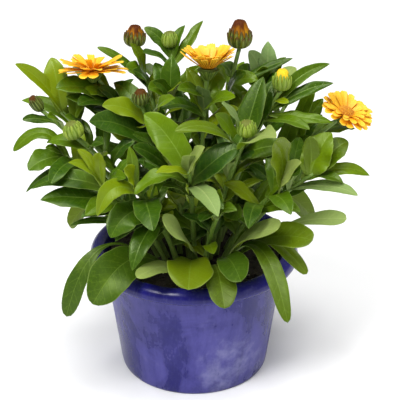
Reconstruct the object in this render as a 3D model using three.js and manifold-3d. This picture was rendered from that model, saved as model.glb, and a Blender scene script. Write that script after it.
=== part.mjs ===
// A potted African daisy: a rimmed plastic pot, the compost in it, and one bushy plant.
// The plant is built as it grows: flowering shoots, budded shoots, leafy shoots and the long
// basal leaves that lie over the rim. Millimetres, +Z up. The origin is the centre of the
// pot's foot, and the side of the plant with the most basal leaves faces -Y.

import * as THREE from "three";
import { mergeVertices } from "three/addons/utils/BufferGeometryUtils.js";
import Module from "manifold-3d";

const wasm = await Module();
wasm.setup();

// ---------------------------------------------------------------- driving dimensions

const POT = {
  height: 127,
  rimRadius: 100,
  rimDepth: 13.5,
  shoulderRadius: 86.5,
  footRadius: 72.5,
  footRecess: 2,
  footRing: 9,
  wall: 3,
  floor: 4,
  drainRadius: 9,
  sides: 44,
};
const SOIL = { edgeLevel: 115, crownLevel: 119, clearance: 0.5, sides: 30 };
const STEM = { footRadius: 2.8, topRadius: 1.8, rootDepth: 14, sides: 5, steps: 5 };
const LEAF = { thickness: 2.4, neck: 0.34, stalk: 0, swell: 0.9 };
const STATIONS = [0, 0.35, 0.7, 0.92, 1];
const BASAL_STATIONS = [0, 0.2, 0.38, 0.55, 0.7, 0.84, 0.94, 1];
const TIP_ROUNDING = 0.45;
const FILL_STATIONS = [0, 0.4, 0.8, 1];
const BASAL = { thickness: 2.8, neck: 0.14, swell: 1.6 };
const FILL = { low: 0.26, high: 0.97, rise: 12, steepen: 48, width: 0.35, arch: 0.12 };
const BARE_NECK = 0.76; // under a flower head or a bud the fill stops at this share of the stem
const LIGHT = [0, -0.5, 1]; // the blades turn their upper sides this way
const GOLDEN_ANGLE = 137.5;
const GAP = 0.35; // what touching pieces keep between them
const ROOM = 0.9; // what a leaf keeps from the leaves and stems it passes
const SMOOTHING = 0.25; // the slivers left by cutting are merged within this distance

// A flower head: its green cup, the ring where the rays start, the rays and the disc.
const HEAD = { cupDepth: 11, cupRadius: 8, rays: 16, rayRoot: 8.5, rayThickness: 1.4 };
// A ray's outline as [share of its length, half width, side].
const RAY_OUTLINE = [[0.6, 3.2, -1], [1, 2, -1], [1, 2, 1], [0.6, 3.2, 1]];
const DISC = { radius: 7.4, height: 4.2 };
const BUD_SIDES = 8;

const COLOURS = {
  pot: 0x4a45a0,
  soil: 0x1d1510,
  leaf: 0x3d6b18,
  basal: 0x4a7424,
  ray: 0xf9b412,
  disc: 0xd98a0a,
  bud: 0x7d7a20,
};

// ---------------------------------------------------------------- the plant's layout
//
// A shoot is foot [x, y] in the compost, top [x, y, z], and leaves as
// [share of the way up the stem, tip x, tip y, tip z, width, arch].
// fill [count, first bearing, length] adds leaves round the stem at the golden angle.

const FLOWERS = {
  left: {
    foot: [-18, 6],
    top: [-91, 10, 296],
    axis: [0, 0.08, 1],
    radius: 34,
    cup: 16,
    leaves: [
      [0.8, -122, -10, 287, 25, 5],
      [0.84, -112, 38, 292, 18, 5],
      [0.72, -62, 28, 270, 17, 5],
      [0.84, -97, -4, 280, 17, 4],
      [0.78, -102, -20, 276, 19, 4],
      [0.7, -82, -24, 258, 20, 4],
      [0.62, -111, -5, 281, 19, 5],
      [0.66, -89, -12, 268, 17, 4],
    ],
    fill: [7, 100, 50],
  },
  centre: {
    foot: [3, 1],
    top: [13, 2, 301],
    axis: [0, 0.1, 1],
    radius: 31,
    cup: 34,
    leaves: [
      [0.8, 27, 26, 295, 24, 4],
      [0.82, -14, -18, 288, 16, 4],
      [0.76, 36, -26, 284, 17, 4],
      [0.72, -28, -16, 272, 18, 5],
      [0.74, -5, 12, 298, 13, 3],
    ],
    fill: [8, 20, 54],
  },
  right: {
    foot: [24, 4],
    top: [138, 0, 257],
    axis: [0.34, -0.3, 1],
    radius: 27,
    cup: 20,
    leaves: [
      [0.86, 152, 30, 232, 16, 5],
      [0.72, 132, 36, 236, 18, 5],
      [0.74, 119, 18, 266, 16, 4],
      [0.7, 108, 8, 280, 17, 4],
      [0.6, 94, 5, 252, 17, 4],
      [0.55, 104, -6, 239, 16, 4],
    ],
    fill: [6, 60, 50],
  },
};

const BUDS = {
  tall: {
    foot: [9, 8],
    top: [42, 30, 311],
    axis: [0, -0.05, 1],
    radius: 10.2,
    length: 27,
    leaves: [
      [0.84, 26, 44, 292, 15, 3],
      [0.8, 58, 16, 286, 16, 3],
      [0.8, 92, 40, 298, 10, 2],
    ],
    fill: [7, 208, 52],
  },
  back_left: {
    foot: [-9, 11],
    top: [-55, 50, 306],
    axis: [0.05, 0, 1],
    radius: 9.2,
    length: 21,
    leaves: [
      [0.86, -58, 38, 313, 11, 2],
      [0.8, -62, 30, 292, 19, 4],
      [0.78, -88, 42, 309, 10, 3],
    ],
    fill: [7, 120, 52],
  },
  back: {
    foot: [-2, 15],
    top: [-22, 70, 299],
    axis: [-0.05, 0, 1],
    radius: 7.2,
    length: 16,
    leaves: [
      [0.93, -46, 73, 318, 13, 3],
      [0.93, -9, 73, 320, 11, 3],
      [0.9, 8, 76, 324, 11, 2],
      [0.86, -46, 36, 305, 23, 5],
    ],
    fill: [6, 40, 52],
  },
  right: {
    foot: [15, -5],
    top: [78, -10, 284],
    axis: [0.05, 0, 1],
    radius: 7.6,
    length: 20,
    leaves: [
      [0.86, 119, 0, 308, 12, 4],
      [0.86, 124, -6, 291, 12, 3],
      [0.84, 125, -16, 256, 12, 3],
      [0.9, 92, 26, 296, 16, 3],
      [0.93, 84, -20, 276, 8, 1],
      [0.8, 102, -34, 257, 13, 4],
      [0.78, 70, 0, 290, 15, 4],
      [0.62, 63, -22, 266, 15, 4],
    ],
    fill: [6, 250, 48],
  },
  round: {
    foot: [13, -16],
    top: [45, -72, 266],
    axis: [-0.05, -0.2, 1],
    radius: 7.6,
    length: 14,
    leaves: [
      [0.95, 24, -82, 299, 14, 2],
      [0.86, 66, -104, 279, 25, 4],
      [0.84, -14, -92, 281, 15, 12],
    ],
    fill: [6, 80, 46],
  },
  left: {
    foot: [-20, -13],
    top: [-103, -42, 252],
    axis: [-0.3, -0.1, 1],
    radius: 8.2,
    length: 16,
    leaves: [
      [0.9, -130, -34, 246, 15, 4],
      [0.9, -78, -64, 256, 13, 3],
    ],
    fill: [6, 30, 46],
  },
  middle: {
    foot: [-11, -6],
    top: [-47, -14, 272],
    axis: [0, 0, 1],
    radius: 6.6,
    length: 15,
    leaves: [
      [0.84, -80, -24, 276, 21, 5],
      [0.7, -90, -38, 268, 25, 5],
      [0.86, -72, 18, 284, 19, 5],
      [0.86, -18, -34, 288, 16, 4],
      [0.66, -53, -45, 256, 15, 4],
    ],
    fill: [7, 190, 50],
  },
  withered: {
    foot: [-29, -5],
    top: [-137, -11, 266],
    axis: [-0.55, -0.15, 1],
    radius: 4.4,
    length: 16,
    leaves: [
      [0.9, -152, -22, 262, 9, 2],
      [0.86, -128, -28, 268, 10, 3],
    ],
    fill: [3, 200, 44],
  },
};

const SHOOTS = {
  left_high: {
    foot: [-28, 4],
    top: [-121, 6, 258],
    leaves: [
      [0.97, -157, 0, 307, 14, 4],
      [1, -129, 20, 305, 22, 5],
      [0.9, -113, 4, 286, 15, 4],
      [0.8, -160, 30, 262, 18, 8],
    ],
    fill: [6, 40, 50],
  },
  left_mid: {
    foot: [-27, -12],
    top: [-116, -30, 230],
    leaves: [
      [0.97, -161, -30, 235, 14, 20],
      [0.98, -146, -48, 224, 21, 4],
      [0.9, -123, -74, 224, 16, 8],
      [0.84, -151, -42, 200, 12, 9],
      [1, -130, -44, 244, 8, 2],
    ],
    fill: [6, 120, 48],
  },
  left_low: {
    foot: [-21, -20],
    top: [-80, -62, 214],
    leaves: [
      [1, -80, -73, 252, 12, 3],
      [0.94, -142, -60, 214, 18, 9],
      [0.8, -134, -66, 207, 26, 3],
      [0.97, -105, -73, 244, 12, 3],
      [1, -97, -66, 252, 9, 2],
      [0.95, -58, -84, 232, 14, 6],
      [0.66, -94, -78, 196, 20, 7],
      [0.52, -110, -58, 178, 9, 5],
      [0.6, -98, -75, 193, 18, 6],
    ],
    fill: [6, 60, 46],
  },
  front_left: {
    foot: [-12, -24],
    top: [-50, -80, 218],
    leaves: [
      [1, -58, -92, 245, 15, 3],
      [1, -53, -78, 258, 10, 2],
      [0.94, -82, -102, 207, 17, 14],
      [0.84, -34, -119, 203, 24, 8],
      [0.74, -72, -96, 184, 27, 8],
      [0.56, -54, -104, 156, 21, 14],
      [0.6, -68, -92, 179, 22, 8],
      [0.5, -53, -100, 162, 14, 6],
    ],
    fill: [6, 10, 44],
  },
  front_centre: {
    foot: [1, -25],
    top: [-4, -86, 238],
    leaves: [
      [0.98, 9, -101, 267, 18, 3],
      [0.97, -31, -105, 246, 11, 3],
      [0.84, -50, -92, 221, 17, 13],
      [0.82, 20, -119, 213, 19, 8],
      [0.94, -41, -58, 281, 26, 4],
      [0.86, 37, -74, 258, 24, 4],
      [0.72, 25, -97, 209, 14, 6],
    ],
    fill: [8, 30, 46],
  },
  right_front: {
    foot: [22, -18],
    top: [76, -68, 214],
    leaves: [
      [1, 68, -84, 266, 25, 5],
      [0.95, 90, -82, 246, 22, 3],
      [0.86, 82, -100, 208, 18, 7],
      [0.74, 46, -104, 196, 16, 8],
      [0.62, 92, -70, 196, 16, 5],
    ],
    fill: [7, 0, 48],
  },
  right_mid: {
    foot: [28, -7],
    top: [108, -32, 212],
    leaves: [
      [0.97, 122, -24, 249, 29, 5],
      [0.97, 102, -38, 251, 15, 3],
      [1, 138, -20, 240, 24, 4],
      [0.98, 161, -20, 206, 13, 7],
      [0.92, 134, -44, 208, 12, 5],
      [0.8, 145, -54, 204, 14, 3],
      [0.84, 95, -20, 243, 18, 4],
    ],
    fill: [6, 90, 48],
  },
  middle_right: {
    foot: [19, -10],
    top: [44, -36, 244],
    leaves: [
      [0.96, 61, -14, 298, 23, 3],
      [0.9, 20, -46, 276, 17, 4],
      [0.84, 84, -48, 246, 18, 6],
      [0.84, 62, -38, 240, 18, 4],
    ],
    fill: [8, 150, 50],
  },
  middle: {
    foot: [-3, -14],
    top: [-22, -46, 226],
    leaves: [
      [0.94, -8, -66, 268, 17, 4],
      [0.9, -52, -62, 252, 18, 5],
      [0.9, -3, -45, 266, 16, 4],
      [0.8, -22, -62, 262, 15, 4],
    ],
    fill: [10, 75, 54],
  },
  upper_centre: {
    foot: [-3, 7],
    top: [-22, 22, 267],
    leaves: [
      [0.97, -20, 30, 303, 19, 3],
      [0.9, -35, 40, 294, 18, 4],
      [0.97, -40, 5, 281, 17, 4],
      [0.95, -14, 0, 287, 15, 3],
    ],
    fill: [7, 118, 50],
  },
  upper_right: {
    foot: [18, 21],
    top: [68, 42, 264],
    leaves: [
      [0.97, 53, 38, 306, 19, 3],
      [1, 69, 48, 311, 18, 3],
      [1, 84, 45, 298, 12, 2],
      [0.93, 42, 25, 294, 20, 4],
      [0.93, 63, 30, 294, 18, 3],
    ],
    fill: [8, 70, 50],
  },
  low_centre: {
    foot: [8, -33],
    top: [20, -80, 192],
    leaves: [
      [1, 36, -92, 206, 13, 5],
      [0.94, 6, -97, 199, 14, 5],
      [1, 22, -84, 222, 11, 2],
    ],
    fill: [6, 140, 38],
  },
  back_left: {
    foot: [-18, 17],
    top: [-98, 68, 252],
    leaves: [],
    fill: [9, 145, 54],
  },
  back: {
    foot: [-6, 25],
    top: [-38, 112, 246],
    leaves: [],
    fill: [10, 80, 56],
  },
  back_centre: {
    foot: [10, 24],
    top: [40, 104, 252],
    leaves: [],
    fill: [10, 35, 56],
  },
  back_right: {
    foot: [20, 13],
    top: [94, 62, 250],
    leaves: [],
    fill: [9, 5, 54],
  },
};

// A basal leaf is [foot x, y, z, tip x, y, z, width, arch, stalk's share of the length].
const BASAL_LEAVES = {
  left: [-34, -27, 116, -116, -82, 95, 20, 54, 0.45],
  front_left: [-20, -33, 116, -88, -112, 126, 38, 26, 0.1],
  front_pale: [-2, -37, 118, -48, -116, 156, 19, 10, 0.2],
  front_yellow: [-1, -40, 116, -5, -122, 147, 42, 20, 0.2],
  front_low: [12, -40, 116, 26, -124, 127, 27, 24, 0.25],
  front_dark: [20, -36, 116, 40, -110, 148, 27, 18, 0.2],
  front_right: [26, -30, 116, 80, -130, 118, 17, 46, 0],
  right_narrow: [34, -22, 116, 100, -82, 138, 14, 36, 0.15],
  right_pale: [23, -42, 118, 71, -104, 193, 31, 12, 0.1],
  right_broad: [30, -33, 118, 101, -92, 179, 28, 16, 0.2],
  right_spoon: [37, -12, 116, 136, -58, 180, 17, 12, 0.5],
  centre_pale: [10, -48, 116, -24, -112, 202, 30, 9, 0.3],
  back_right: [38, 14, 116, 122, 58, 122, 30, 44, 0.2],
  back_far_right: [28, 31, 116, 78, 112, 118, 34, 44, 0.2],
  back: [4, 40, 116, 10, 130, 116, 32, 42, 0.2],
  back_far_left: [-24, 33, 116, -74, 114, 124, 32, 42, 0.2],
  back_left: [-38, 16, 116, -126, 52, 118, 30, 46, 0.2],
};

// ---------------------------------------------------------------- solids and meshes

const UP = new THREE.Vector3(0, 0, 1);
const vec = (p) => new THREE.Vector3(...p);

// The closed surface of a three.js geometry as a solid.
function solidOf(geometry) {
  const bare = (geometry.index ? geometry.toNonIndexed() : geometry.clone());
  const shell = new THREE.BufferGeometry().setAttribute("position", bare.getAttribute("position"));
  const merged = mergeVertices(shell, 1e-3);
  const mesh = new wasm.Mesh({
    numProp: 3,
    vertProperties: merged.attributes.position.array,
    triVerts: new Uint32Array(merged.index.array),
  });
  return new wasm.Manifold(mesh);
}

// A solid's surface as a three.js geometry.
function geometryOf(solid) {
  const { vertProperties, triVerts, numProp, numVert } = solid.getMesh();
  const positions = new Float32Array(numVert * 3);
  for (let i = 0; i < numVert; i++) {
    positions.set(vertProperties.subarray(i * numProp, i * numProp + 3), i * 3);
  }
  const geometry = new THREE.BufferGeometry();
  geometry.setAttribute("position", new THREE.BufferAttribute(positions, 3));
  geometry.setIndex(new THREE.BufferAttribute(triVerts, 1));
  geometry.computeVertexNormals();
  return geometry;
}

function join(solids) {
  return solids.reduce((all, next) => all.add(next));
}

function largestPiece(solid) {
  const pieces = solid.decompose();
  return pieces.reduce((best, piece) => (piece.volume() > best.volume() ? piece : best));
}

// True if every edge of a solid's surface is shared by just two faces, so that no fold of the
// surface touches another along an edge.
function edgesAreSingle(solid) {
  const { vertProperties, triVerts } = solid.getMesh();
  const place = (vertex) => {
    const start = 3 * vertex;
    return Array.from(vertProperties.subarray(start, start + 3), (x) => x.toFixed(3)).join();
  };
  const seen = new Set();
  for (let i = 0; i < triVerts.length; i += 3) {
    const corners = [place(triVerts[i]), place(triVerts[i + 1]), place(triVerts[i + 2])];
    for (let k = 0; k < 3; k++) {
      const edge = `${corners[k]} ${corners[(k + 1) % 3]}`;
      if (seen.has(edge)) return false;
      seen.add(edge);
    }
  }
  return true;
}

// Merges the slivers that joining and cutting leave behind, a little more or a little less if
// two folds of the surface would otherwise touch.
function tidied(solid) {
  const whole = solid.asOriginal();
  for (const share of [1, 0.9, 0.8, 0.7, 1.1, 0.6, 0.5]) {
    const smooth = largestPiece(whole.simplify(SMOOTHING * share));
    if (edgesAreSingle(smooth)) return smooth;
  }
  return largestPiece(whole);
}

const part = new THREE.Group();
part.name = "potted_african_daisy";

function addNode(name, solid, colour, roughness = 0.6) {
  const material = new THREE.MeshStandardMaterial({ color: colour, roughness, metalness: 0 });
  const mesh = new THREE.Mesh(geometryOf(solid), material);
  mesh.name = name;
  part.add(mesh);
}

// The solid between rings of points: each ring is a closed loop of the same count, and a ring
// of one point closes that end in a tip. Flat ends are fanned from their first point.
function loft(rings) {
  const positions = rings.flat().flatMap((p) => p.toArray());
  const starts = [];
  rings.reduce((sum, ring) => (starts.push(sum), sum + ring.length), 0);
  const faces = [];
  for (let r = 0; r + 1 < rings.length; r++) {
    const here = rings[r].length;
    const next = rings[r + 1].length;
    const count = Math.max(here, next);
    for (let i = 0; i < count; i++) {
      const j = (i + 1) % count;
      const a = starts[r] + (i % here);
      const b = starts[r] + (j % here);
      const c = starts[r + 1] + (j % next);
      const d = starts[r + 1] + (i % next);
      if (here > 1) faces.push(a, b, c);
      if (next > 1) faces.push(a, c, d);
    }
  }
  const first = rings[0].length;
  for (let i = 1; i + 1 < first; i++) faces.push(0, i + 1, i);
  const last = rings.at(-1).length;
  const end = starts.at(-1);
  for (let i = 1; i + 1 < last; i++) faces.push(end, end + i, end + i + 1);
  const geometry = new THREE.BufferGeometry();
  geometry.setAttribute("position", new THREE.Float32BufferAttribute(positions, 3));
  geometry.setIndex(faces);
  const solid = solidOf(geometry);
  return solid.volume() < 0 ? solidOf(flipped(geometry)) : solid;
}

function flipped(geometry) {
  const faces = Array.from(geometry.index.array);
  for (let i = 0; i < faces.length; i += 3) {
    [faces[i + 1], faces[i + 2]] = [faces[i + 2], faces[i + 1]];
  }
  return geometry.clone().setIndex(faces);
}

// A solid of revolution about Z from [radius, height] points that start and end on the axis
// and run up the outside.
function turned(profile, sides) {
  const points = profile.map(([radius, height]) => new THREE.Vector2(radius, height));
  return solidOf(new THREE.LatheGeometry(points, sides).rotateX(Math.PI / 2));
}

// ---------------------------------------------------------------- leaves

// Half the width of a blade at a share s of its length, as a share of the widest half: a neck
// along the stalk, then a spoon that rounds off at the tip. The more swell, the nearer to the
// tip it is widest.
function bladeWidth(s, { stalk, neck, swell }) {
  const spoon = (q) => q ** swell * (1 - q) ** TIP_ROUNDING;
  const widest = swell / (swell + TIP_ROUNDING);
  const blade = spoon(Math.max(0, (s - stalk) / (1 - stalk))) / spoon(widest);
  return neck * (1 - s ** 6) + (1 - neck) * blade;
}

// The part of a direction that is square to the leaf's own line, as a unit vector.
function squared(direction, along) {
  return direction.clone().addScaledVector(along, -direction.dot(along)).normalize();
}

// A leaf from base to tip: its midrib is the chord raised by a parabola of height arch, and
// each cross-section is a shallow keel with two sharp edges. Its room, the same shape with
// blunt edges, stands off it by grow on every side.
function leafSolid(leaf, grow = 0) {
  const { base, tip, width, arch, thickness, stations } = leaf;
  const chord = tip.clone().sub(base);
  const along = chord.clone().normalize();
  const bow = squared(UP, along);
  const upper = squared(vec(LIGHT), along);
  const across = along.clone().cross(upper);
  const rings = stations.map((s) => {
    const rise = arch * 4 * s * (1 - s);
    const centre = base.clone().addScaledVector(chord, s).addScaledVector(bow, rise);
    if (s === 1) return [centre.addScaledVector(along, grow)];
    const half = (width / 2) * bladeWidth(s, leaf) + grow;
    const section = [
      [-half, thickness / 4 + grow],
      [0, -0.75 * thickness - grow],
      [half, thickness / 4 + grow],
    ];
    if (grow > 0) {
      section.splice(1, 0, [-half, thickness / 4 - grow]);
      section.splice(3, 0, [half, thickness / 4 - grow]);
    }
    return section.map(([sideways, up]) => {
      return centre.clone().addScaledVector(across, sideways).addScaledVector(upper, up);
    });
  });
  return loft(rings);
}

// ---------------------------------------------------------------- stems

// A stem rises steeply from the compost and leans out towards its top.
function stemCurve({ foot, top }) {
  const start = new THREE.Vector3(foot[0], foot[1], SOIL.edgeLevel - STEM.rootDepth);
  const end = vec(top);
  const lean = end.clone().sub(start).multiply(new THREE.Vector3(0.35, 0.35, 0.62));
  return new THREE.QuadraticBezierCurve3(start, start.clone().add(lean), end);
}

function stemSolid(shoot, grow = 0) {
  const curve = stemCurve(shoot);
  const rings = [];
  for (let i = 0; i <= STEM.steps; i++) {
    const t = i / STEM.steps;
    const radius = THREE.MathUtils.lerp(STEM.footRadius, STEM.topRadius, t) + grow;
    const along = curve.getTangent(t);
    const side = new THREE.Vector3(0, 1, 0).cross(along).normalize();
    const front = along.clone().cross(side);
    const ring = [];
    for (let k = 0; k < STEM.sides; k++) {
      const angle = (2 * Math.PI * k) / STEM.sides;
      const offset = side.clone().multiplyScalar(radius * Math.cos(angle));
      offset.addScaledVector(front, radius * Math.sin(angle));
      ring.push(curve.getPoint(t).add(offset));
    }
    rings.push(ring);
  }
  return loft(rings);
}

// The leaves listed for a shoot, then its fill: each next leaf turns by the golden angle, and
// the higher it stands the steeper and shorter it is.
function leavesOf(shoot) {
  const curve = stemCurve(shoot);
  const listed = shoot.leaves.map(([t, x, y, z, width, arch]) => ({
    base: curve.getPoint(t),
    tip: new THREE.Vector3(x, y, z),
    width,
    arch,
  }));
  const [count, firstBearing, size] = shoot.fill;
  const high = shoot.axis ? BARE_NECK : FILL.high;
  const filled = Array.from({ length: count }, (_, k) => {
    const share = (k + 0.5) / count;
    const base = curve.getPoint(THREE.MathUtils.lerp(FILL.low, high, share));
    const bearing = THREE.MathUtils.degToRad(firstBearing + GOLDEN_ANGLE * k);
    const rise = THREE.MathUtils.degToRad(FILL.rise + FILL.steepen * share);
    const length = size * (1.05 - 0.3 * share);
    const reach = new THREE.Vector3(
      Math.cos(rise) * Math.cos(bearing),
      Math.cos(rise) * Math.sin(bearing),
      Math.sin(rise),
    );
    return {
      base,
      tip: base.clone().addScaledVector(reach, length),
      width: length * FILL.width,
      arch: length * FILL.arch,
    };
  });
  return [
    ...listed.map((leaf) => ({ ...LEAF, ...leaf, stations: STATIONS })),
    ...filled.map((leaf) => ({ ...LEAF, ...leaf, stations: FILL_STATIONS })),
  ];
}

// ---------------------------------------------------------------- flower heads and buds

// Turns and moves a solid made at the origin, facing +Z, onto the top of a shoot.
function placed(solid, { top, axis }) {
  const turn = new THREE.Quaternion().setFromUnitVectors(UP, vec(axis).normalize());
  const matrix = new THREE.Matrix4().compose(vec(top), turn, new THREE.Vector3(1, 1, 1));
  return solid.transform(matrix.toArray());
}

// The green cup that holds the florets, on the end of the stem.
function cupSolid() {
  const { cupDepth, cupRadius } = HEAD;
  const profile = [
    [0, -cupDepth],
    [STEM.topRadius * 0.8, -cupDepth],
    [cupRadius * 0.62, -cupDepth * 0.62],
    [cupRadius, -1.3],
    [0, -1.3],
  ];
  return turned(profile, 9);
}

// The rays as one star-shaped shell. They leave a round plate side by side, lift by the angle
// cup, then bow level again; each is widest past its middle and blunt at the tip.
function raysSolid({ radius, cup }, grow = 0) {
  const lift = Math.sin(THREE.MathUtils.degToRad(cup));
  const reach = Math.cos(THREE.MathUtils.degToRad(cup));
  const pitch = (2 * Math.PI) / HEAD.rays;
  const thick = HEAD.rayThickness / 2 + grow;
  const positions = [];
  const faces = [];
  const addPoint = (out, sideways, bearing, height) => {
    const x = out * Math.cos(bearing) - sideways * Math.sin(bearing);
    const y = out * Math.sin(bearing) + sideways * Math.cos(bearing);
    positions.push(x, y, height + thick, x, y, height - thick);
  };
  // A face is given by its corners on top; the underside and the walls follow from it.
  const addTop = (...corners) => {
    for (let i = 1; i + 1 < corners.length; i++) {
      const [a, b, c] = [corners[0], corners[i], corners[i + 1]].map((corner) => 2 * corner);
      faces.push(a, b, c, a + 1, c + 1, b + 1);
    }
  };
  const addWall = (from, to) => {
    faces.push(2 * from, 2 * from + 1, 2 * to + 1, 2 * from, 2 * to + 1, 2 * to);
  };
  addPoint(0, 0, 0, 0);
  for (let k = 0; k < HEAD.rays; k++) {
    const bearing = k * pitch;
    addPoint(HEAD.rayRoot + grow, 0, bearing - pitch / 2, 0);
    for (const [share, halfWidth, side] of RAY_OUTLINE) {
      const length = (radius - HEAD.rayRoot) * share;
      const out = HEAD.rayRoot + length * reach + grow * share;
      const height = length * lift * Math.sqrt(share);
      addPoint(out, side * (halfWidth + grow), bearing, height);
    }
    const first = 1 + 5 * k;
    const next = 1 + 5 * ((k + 1) % HEAD.rays);
    addTop(0, first, next);
    addTop(first, first + 1, first + 4, next);
    addTop(first + 1, first + 2, first + 3, first + 4);
    for (let i = 0; i < 4; i++) addWall(first + i, first + i + 1);
    addWall(first + 4, next);
  }
  const geometry = new THREE.BufferGeometry();
  geometry.setAttribute("position", new THREE.Float32BufferAttribute(positions, 3));
  geometry.setIndex(faces);
  return solidOf(geometry);
}

// The dome of small florets in the middle of a head.
function discSolid() {
  const { radius, height } = DISC;
  const foot = HEAD.rayThickness / 2 + GAP;
  const profile = [
    [0, foot],
    [radius * 0.94, foot],
    [radius, foot + height * 0.35],
    [radius * 0.8, foot + height * 0.75],
    [radius * 0.4, foot + height],
    [0, foot + height],
  ];
  return turned(profile, 12);
}

// A closed bud: an egg of green bracts drawn in round the furled rays.
function budSolid({ radius, length }, grow = 0) {
  const shares = [
    [0, 0],
    [0.32, 0],
    [0.86, 0.16],
    [1, 0.36],
    [0.86, 0.62],
    [0.6, 0.88],
    [0.36, 1],
    [0, 1],
  ];
  const profile = shares.map(([across, up]) => {
    const level = GAP + up * (length - GAP) + grow * Math.sign(up - 0.36);
    return [across === 0 ? 0 : across * radius + grow, level];
  });
  return turned(profile, BUD_SIDES);
}

// ---------------------------------------------------------------- the pot and its compost

function potSolid(grow = 0) {
  const { height, rimRadius, rimDepth, shoulderRadius, footRadius, footRecess, footRing } = POT;
  const { wall, floor, drainRadius, sides } = POT;
  const shoulder = height - rimDepth;
  const profile = [
    [0, footRecess],
    [footRadius - footRing - 1, footRecess],
    [footRadius - footRing, 0],
    [footRadius - 2, 0],
    [footRadius, 2],
    [shoulderRadius, shoulder],
    [rimRadius - 3, shoulder],
    [rimRadius, shoulder + 3],
    [rimRadius - 0.8, shoulder + 7.5],
    [rimRadius - 4, height - 1.5],
    [rimRadius - 8, height],
    [rimRadius - 12.5, height - 1.4],
    [shoulderRadius - wall + 0.5, height - 6],
    [footRadius - wall, floor + footRecess],
    [0, floor + footRecess],
  ];
  const grown = profile.map(([r, z]) => [r > 0 ? r + grow : 0, z > height / 2 ? z + grow : z]);
  const drain = new THREE.CylinderGeometry(drainRadius, drainRadius, 30, 24).rotateX(Math.PI / 2);
  return turned(grown, sides).subtract(solidOf(drain));
}

// The root ball fills the pot to just under the rim, with a slightly domed top.
function soilSolid() {
  const { edgeLevel, crownLevel, clearance, sides } = SOIL;
  const { height, rimDepth, shoulderRadius, footRadius, footRecess, wall, floor } = POT;
  const bottom = floor + footRecess + clearance;
  const innerFoot = footRadius - wall;
  const innerTop = shoulderRadius - wall;
  const slope = (innerTop + 0.5 - innerFoot) / (height - 6 - floor - footRecess);
  const radiusAt = (z) => innerFoot + slope * (z - floor - footRecess) - 2 * clearance;
  const profile = [
    [0, bottom],
    [radiusAt(bottom), bottom],
    [radiusAt(edgeLevel - rimDepth), edgeLevel - rimDepth],
    [radiusAt(edgeLevel), edgeLevel - 1],
    [innerTop * 0.62, crownLevel - 1],
    [innerTop * 0.3, crownLevel],
    [0, crownLevel],
  ];
  return turned(profile, sides);
}

// ---------------------------------------------------------------- the plant, piece by piece

const shoots = [
  ...Object.entries(FLOWERS).map(([name, shoot]) => ({ kind: "flower", name, ...shoot })),
  ...Object.entries(BUDS).map(([name, shoot]) => ({ kind: "bud", name, ...shoot })),
  ...Object.entries(SHOOTS).map(([name, shoot]) => ({ kind: "leafy", name, ...shoot })),
];

// What a leaf gives way to: every stem, head and bud, and the pot.
for (const shoot of shoots) {
  shoot.stem = stemSolid(shoot);
  shoot.stemRoom = stemSolid(shoot, ROOM);
  if (shoot.kind === "flower") {
    shoot.stem = shoot.stem.add(placed(cupSolid(), shoot));
    shoot.head = placed(raysSolid(shoot), shoot);
    shoot.disc = placed(discSolid(), shoot);
    shoot.headRoom = placed(join([raysSolid(shoot, ROOM), discSolid()]), shoot);
    shoot.stem = shoot.stem.subtract(placed(raysSolid(shoot, GAP), shoot));
  }
  if (shoot.kind === "bud") {
    shoot.head = placed(budSolid(shoot), shoot);
    shoot.headRoom = placed(budSolid(shoot, ROOM), shoot);
    shoot.stem = shoot.stem.subtract(placed(budSolid(shoot, GAP), shoot));
  }
}
const potRoom = potSolid(ROOM);

// Leaves are laid in order, and each shoot's leaves give way to those laid before them.
let laid = potRoom;
function settle(solid, own) {
  const others = shoots.filter((shoot) => shoot !== own);
  const rooms = others.map((shoot) => shoot.stemRoom);
  const heads = shoots.filter((shoot) => shoot.headRoom).map((shoot) => shoot.headRoom);
  return solid.subtract(join([...rooms, ...heads])).subtract(laid);
}

const rooted = shoots.map((shoot) => stemSolid(shoot, GAP));
const basalNodes = [];
for (const [name, row] of Object.entries(BASAL_LEAVES)) {
  const [x, y, z, tipX, tipY, tipZ, width, arch, stalk] = row;
  const leaf = {
    base: new THREE.Vector3(x, y, z - STEM.rootDepth / 2),
    tip: new THREE.Vector3(tipX, tipY, tipZ),
    width,
    arch,
    ...BASAL,
    stations: BASAL_STATIONS,
    stalk,
  };
  const solid = tidied(largestPiece(settle(leafSolid(leaf), null)));
  laid = laid.add(leafSolid(leaf, ROOM));
  basalNodes.push({ name: `basal_leaf_${name}`, solid });
  rooted.push(leafSolid(leaf, GAP));
}

for (const shoot of shoots) {
  const leaves = leavesOf(shoot);
  const blades = settle(join(leaves.map((leaf) => leafSolid(leaf))), shoot);
  laid = join([laid, ...leaves.map((leaf) => leafSolid(leaf, ROOM))]);
  shoot.plant = tidied(largestPiece(shoot.stem.add(blades)));
}

addNode("pot", potSolid(), COLOURS.pot, 0.45);
// Every stem and leaf stalk stands in a hole of its own in the compost.
addNode("compost", tidied(soilSolid().subtract(join(rooted))), COLOURS.soil, 0.95);
for (const { name, solid } of basalNodes) addNode(name, solid, COLOURS.basal);
for (const shoot of shoots) {
  const { kind, name, plant, head, disc } = shoot;
  if (kind === "leafy") addNode(`shoot_${name}`, plant, COLOURS.leaf);
  if (kind === "bud") {
    addNode(`bud_${name}_shoot`, plant, COLOURS.leaf);
    addNode(`bud_${name}_head`, head, COLOURS.bud);
  }
  if (kind === "flower") {
    addNode(`flower_${name}_shoot`, plant, COLOURS.leaf);
    addNode(`flower_${name}_rays`, head, COLOURS.ray);
    addNode(`flower_${name}_disc`, disc, COLOURS.disc);
  }
}

export default part;
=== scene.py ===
"""A potted African daisy: the looks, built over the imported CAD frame.

A rimmed plastic pot, its compost, and one bushy plant with open flower heads, buds, leafy
shoots and long basal leaves. Lengths in the tables are millimetres in the frame's own axes.
"""

import math

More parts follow.
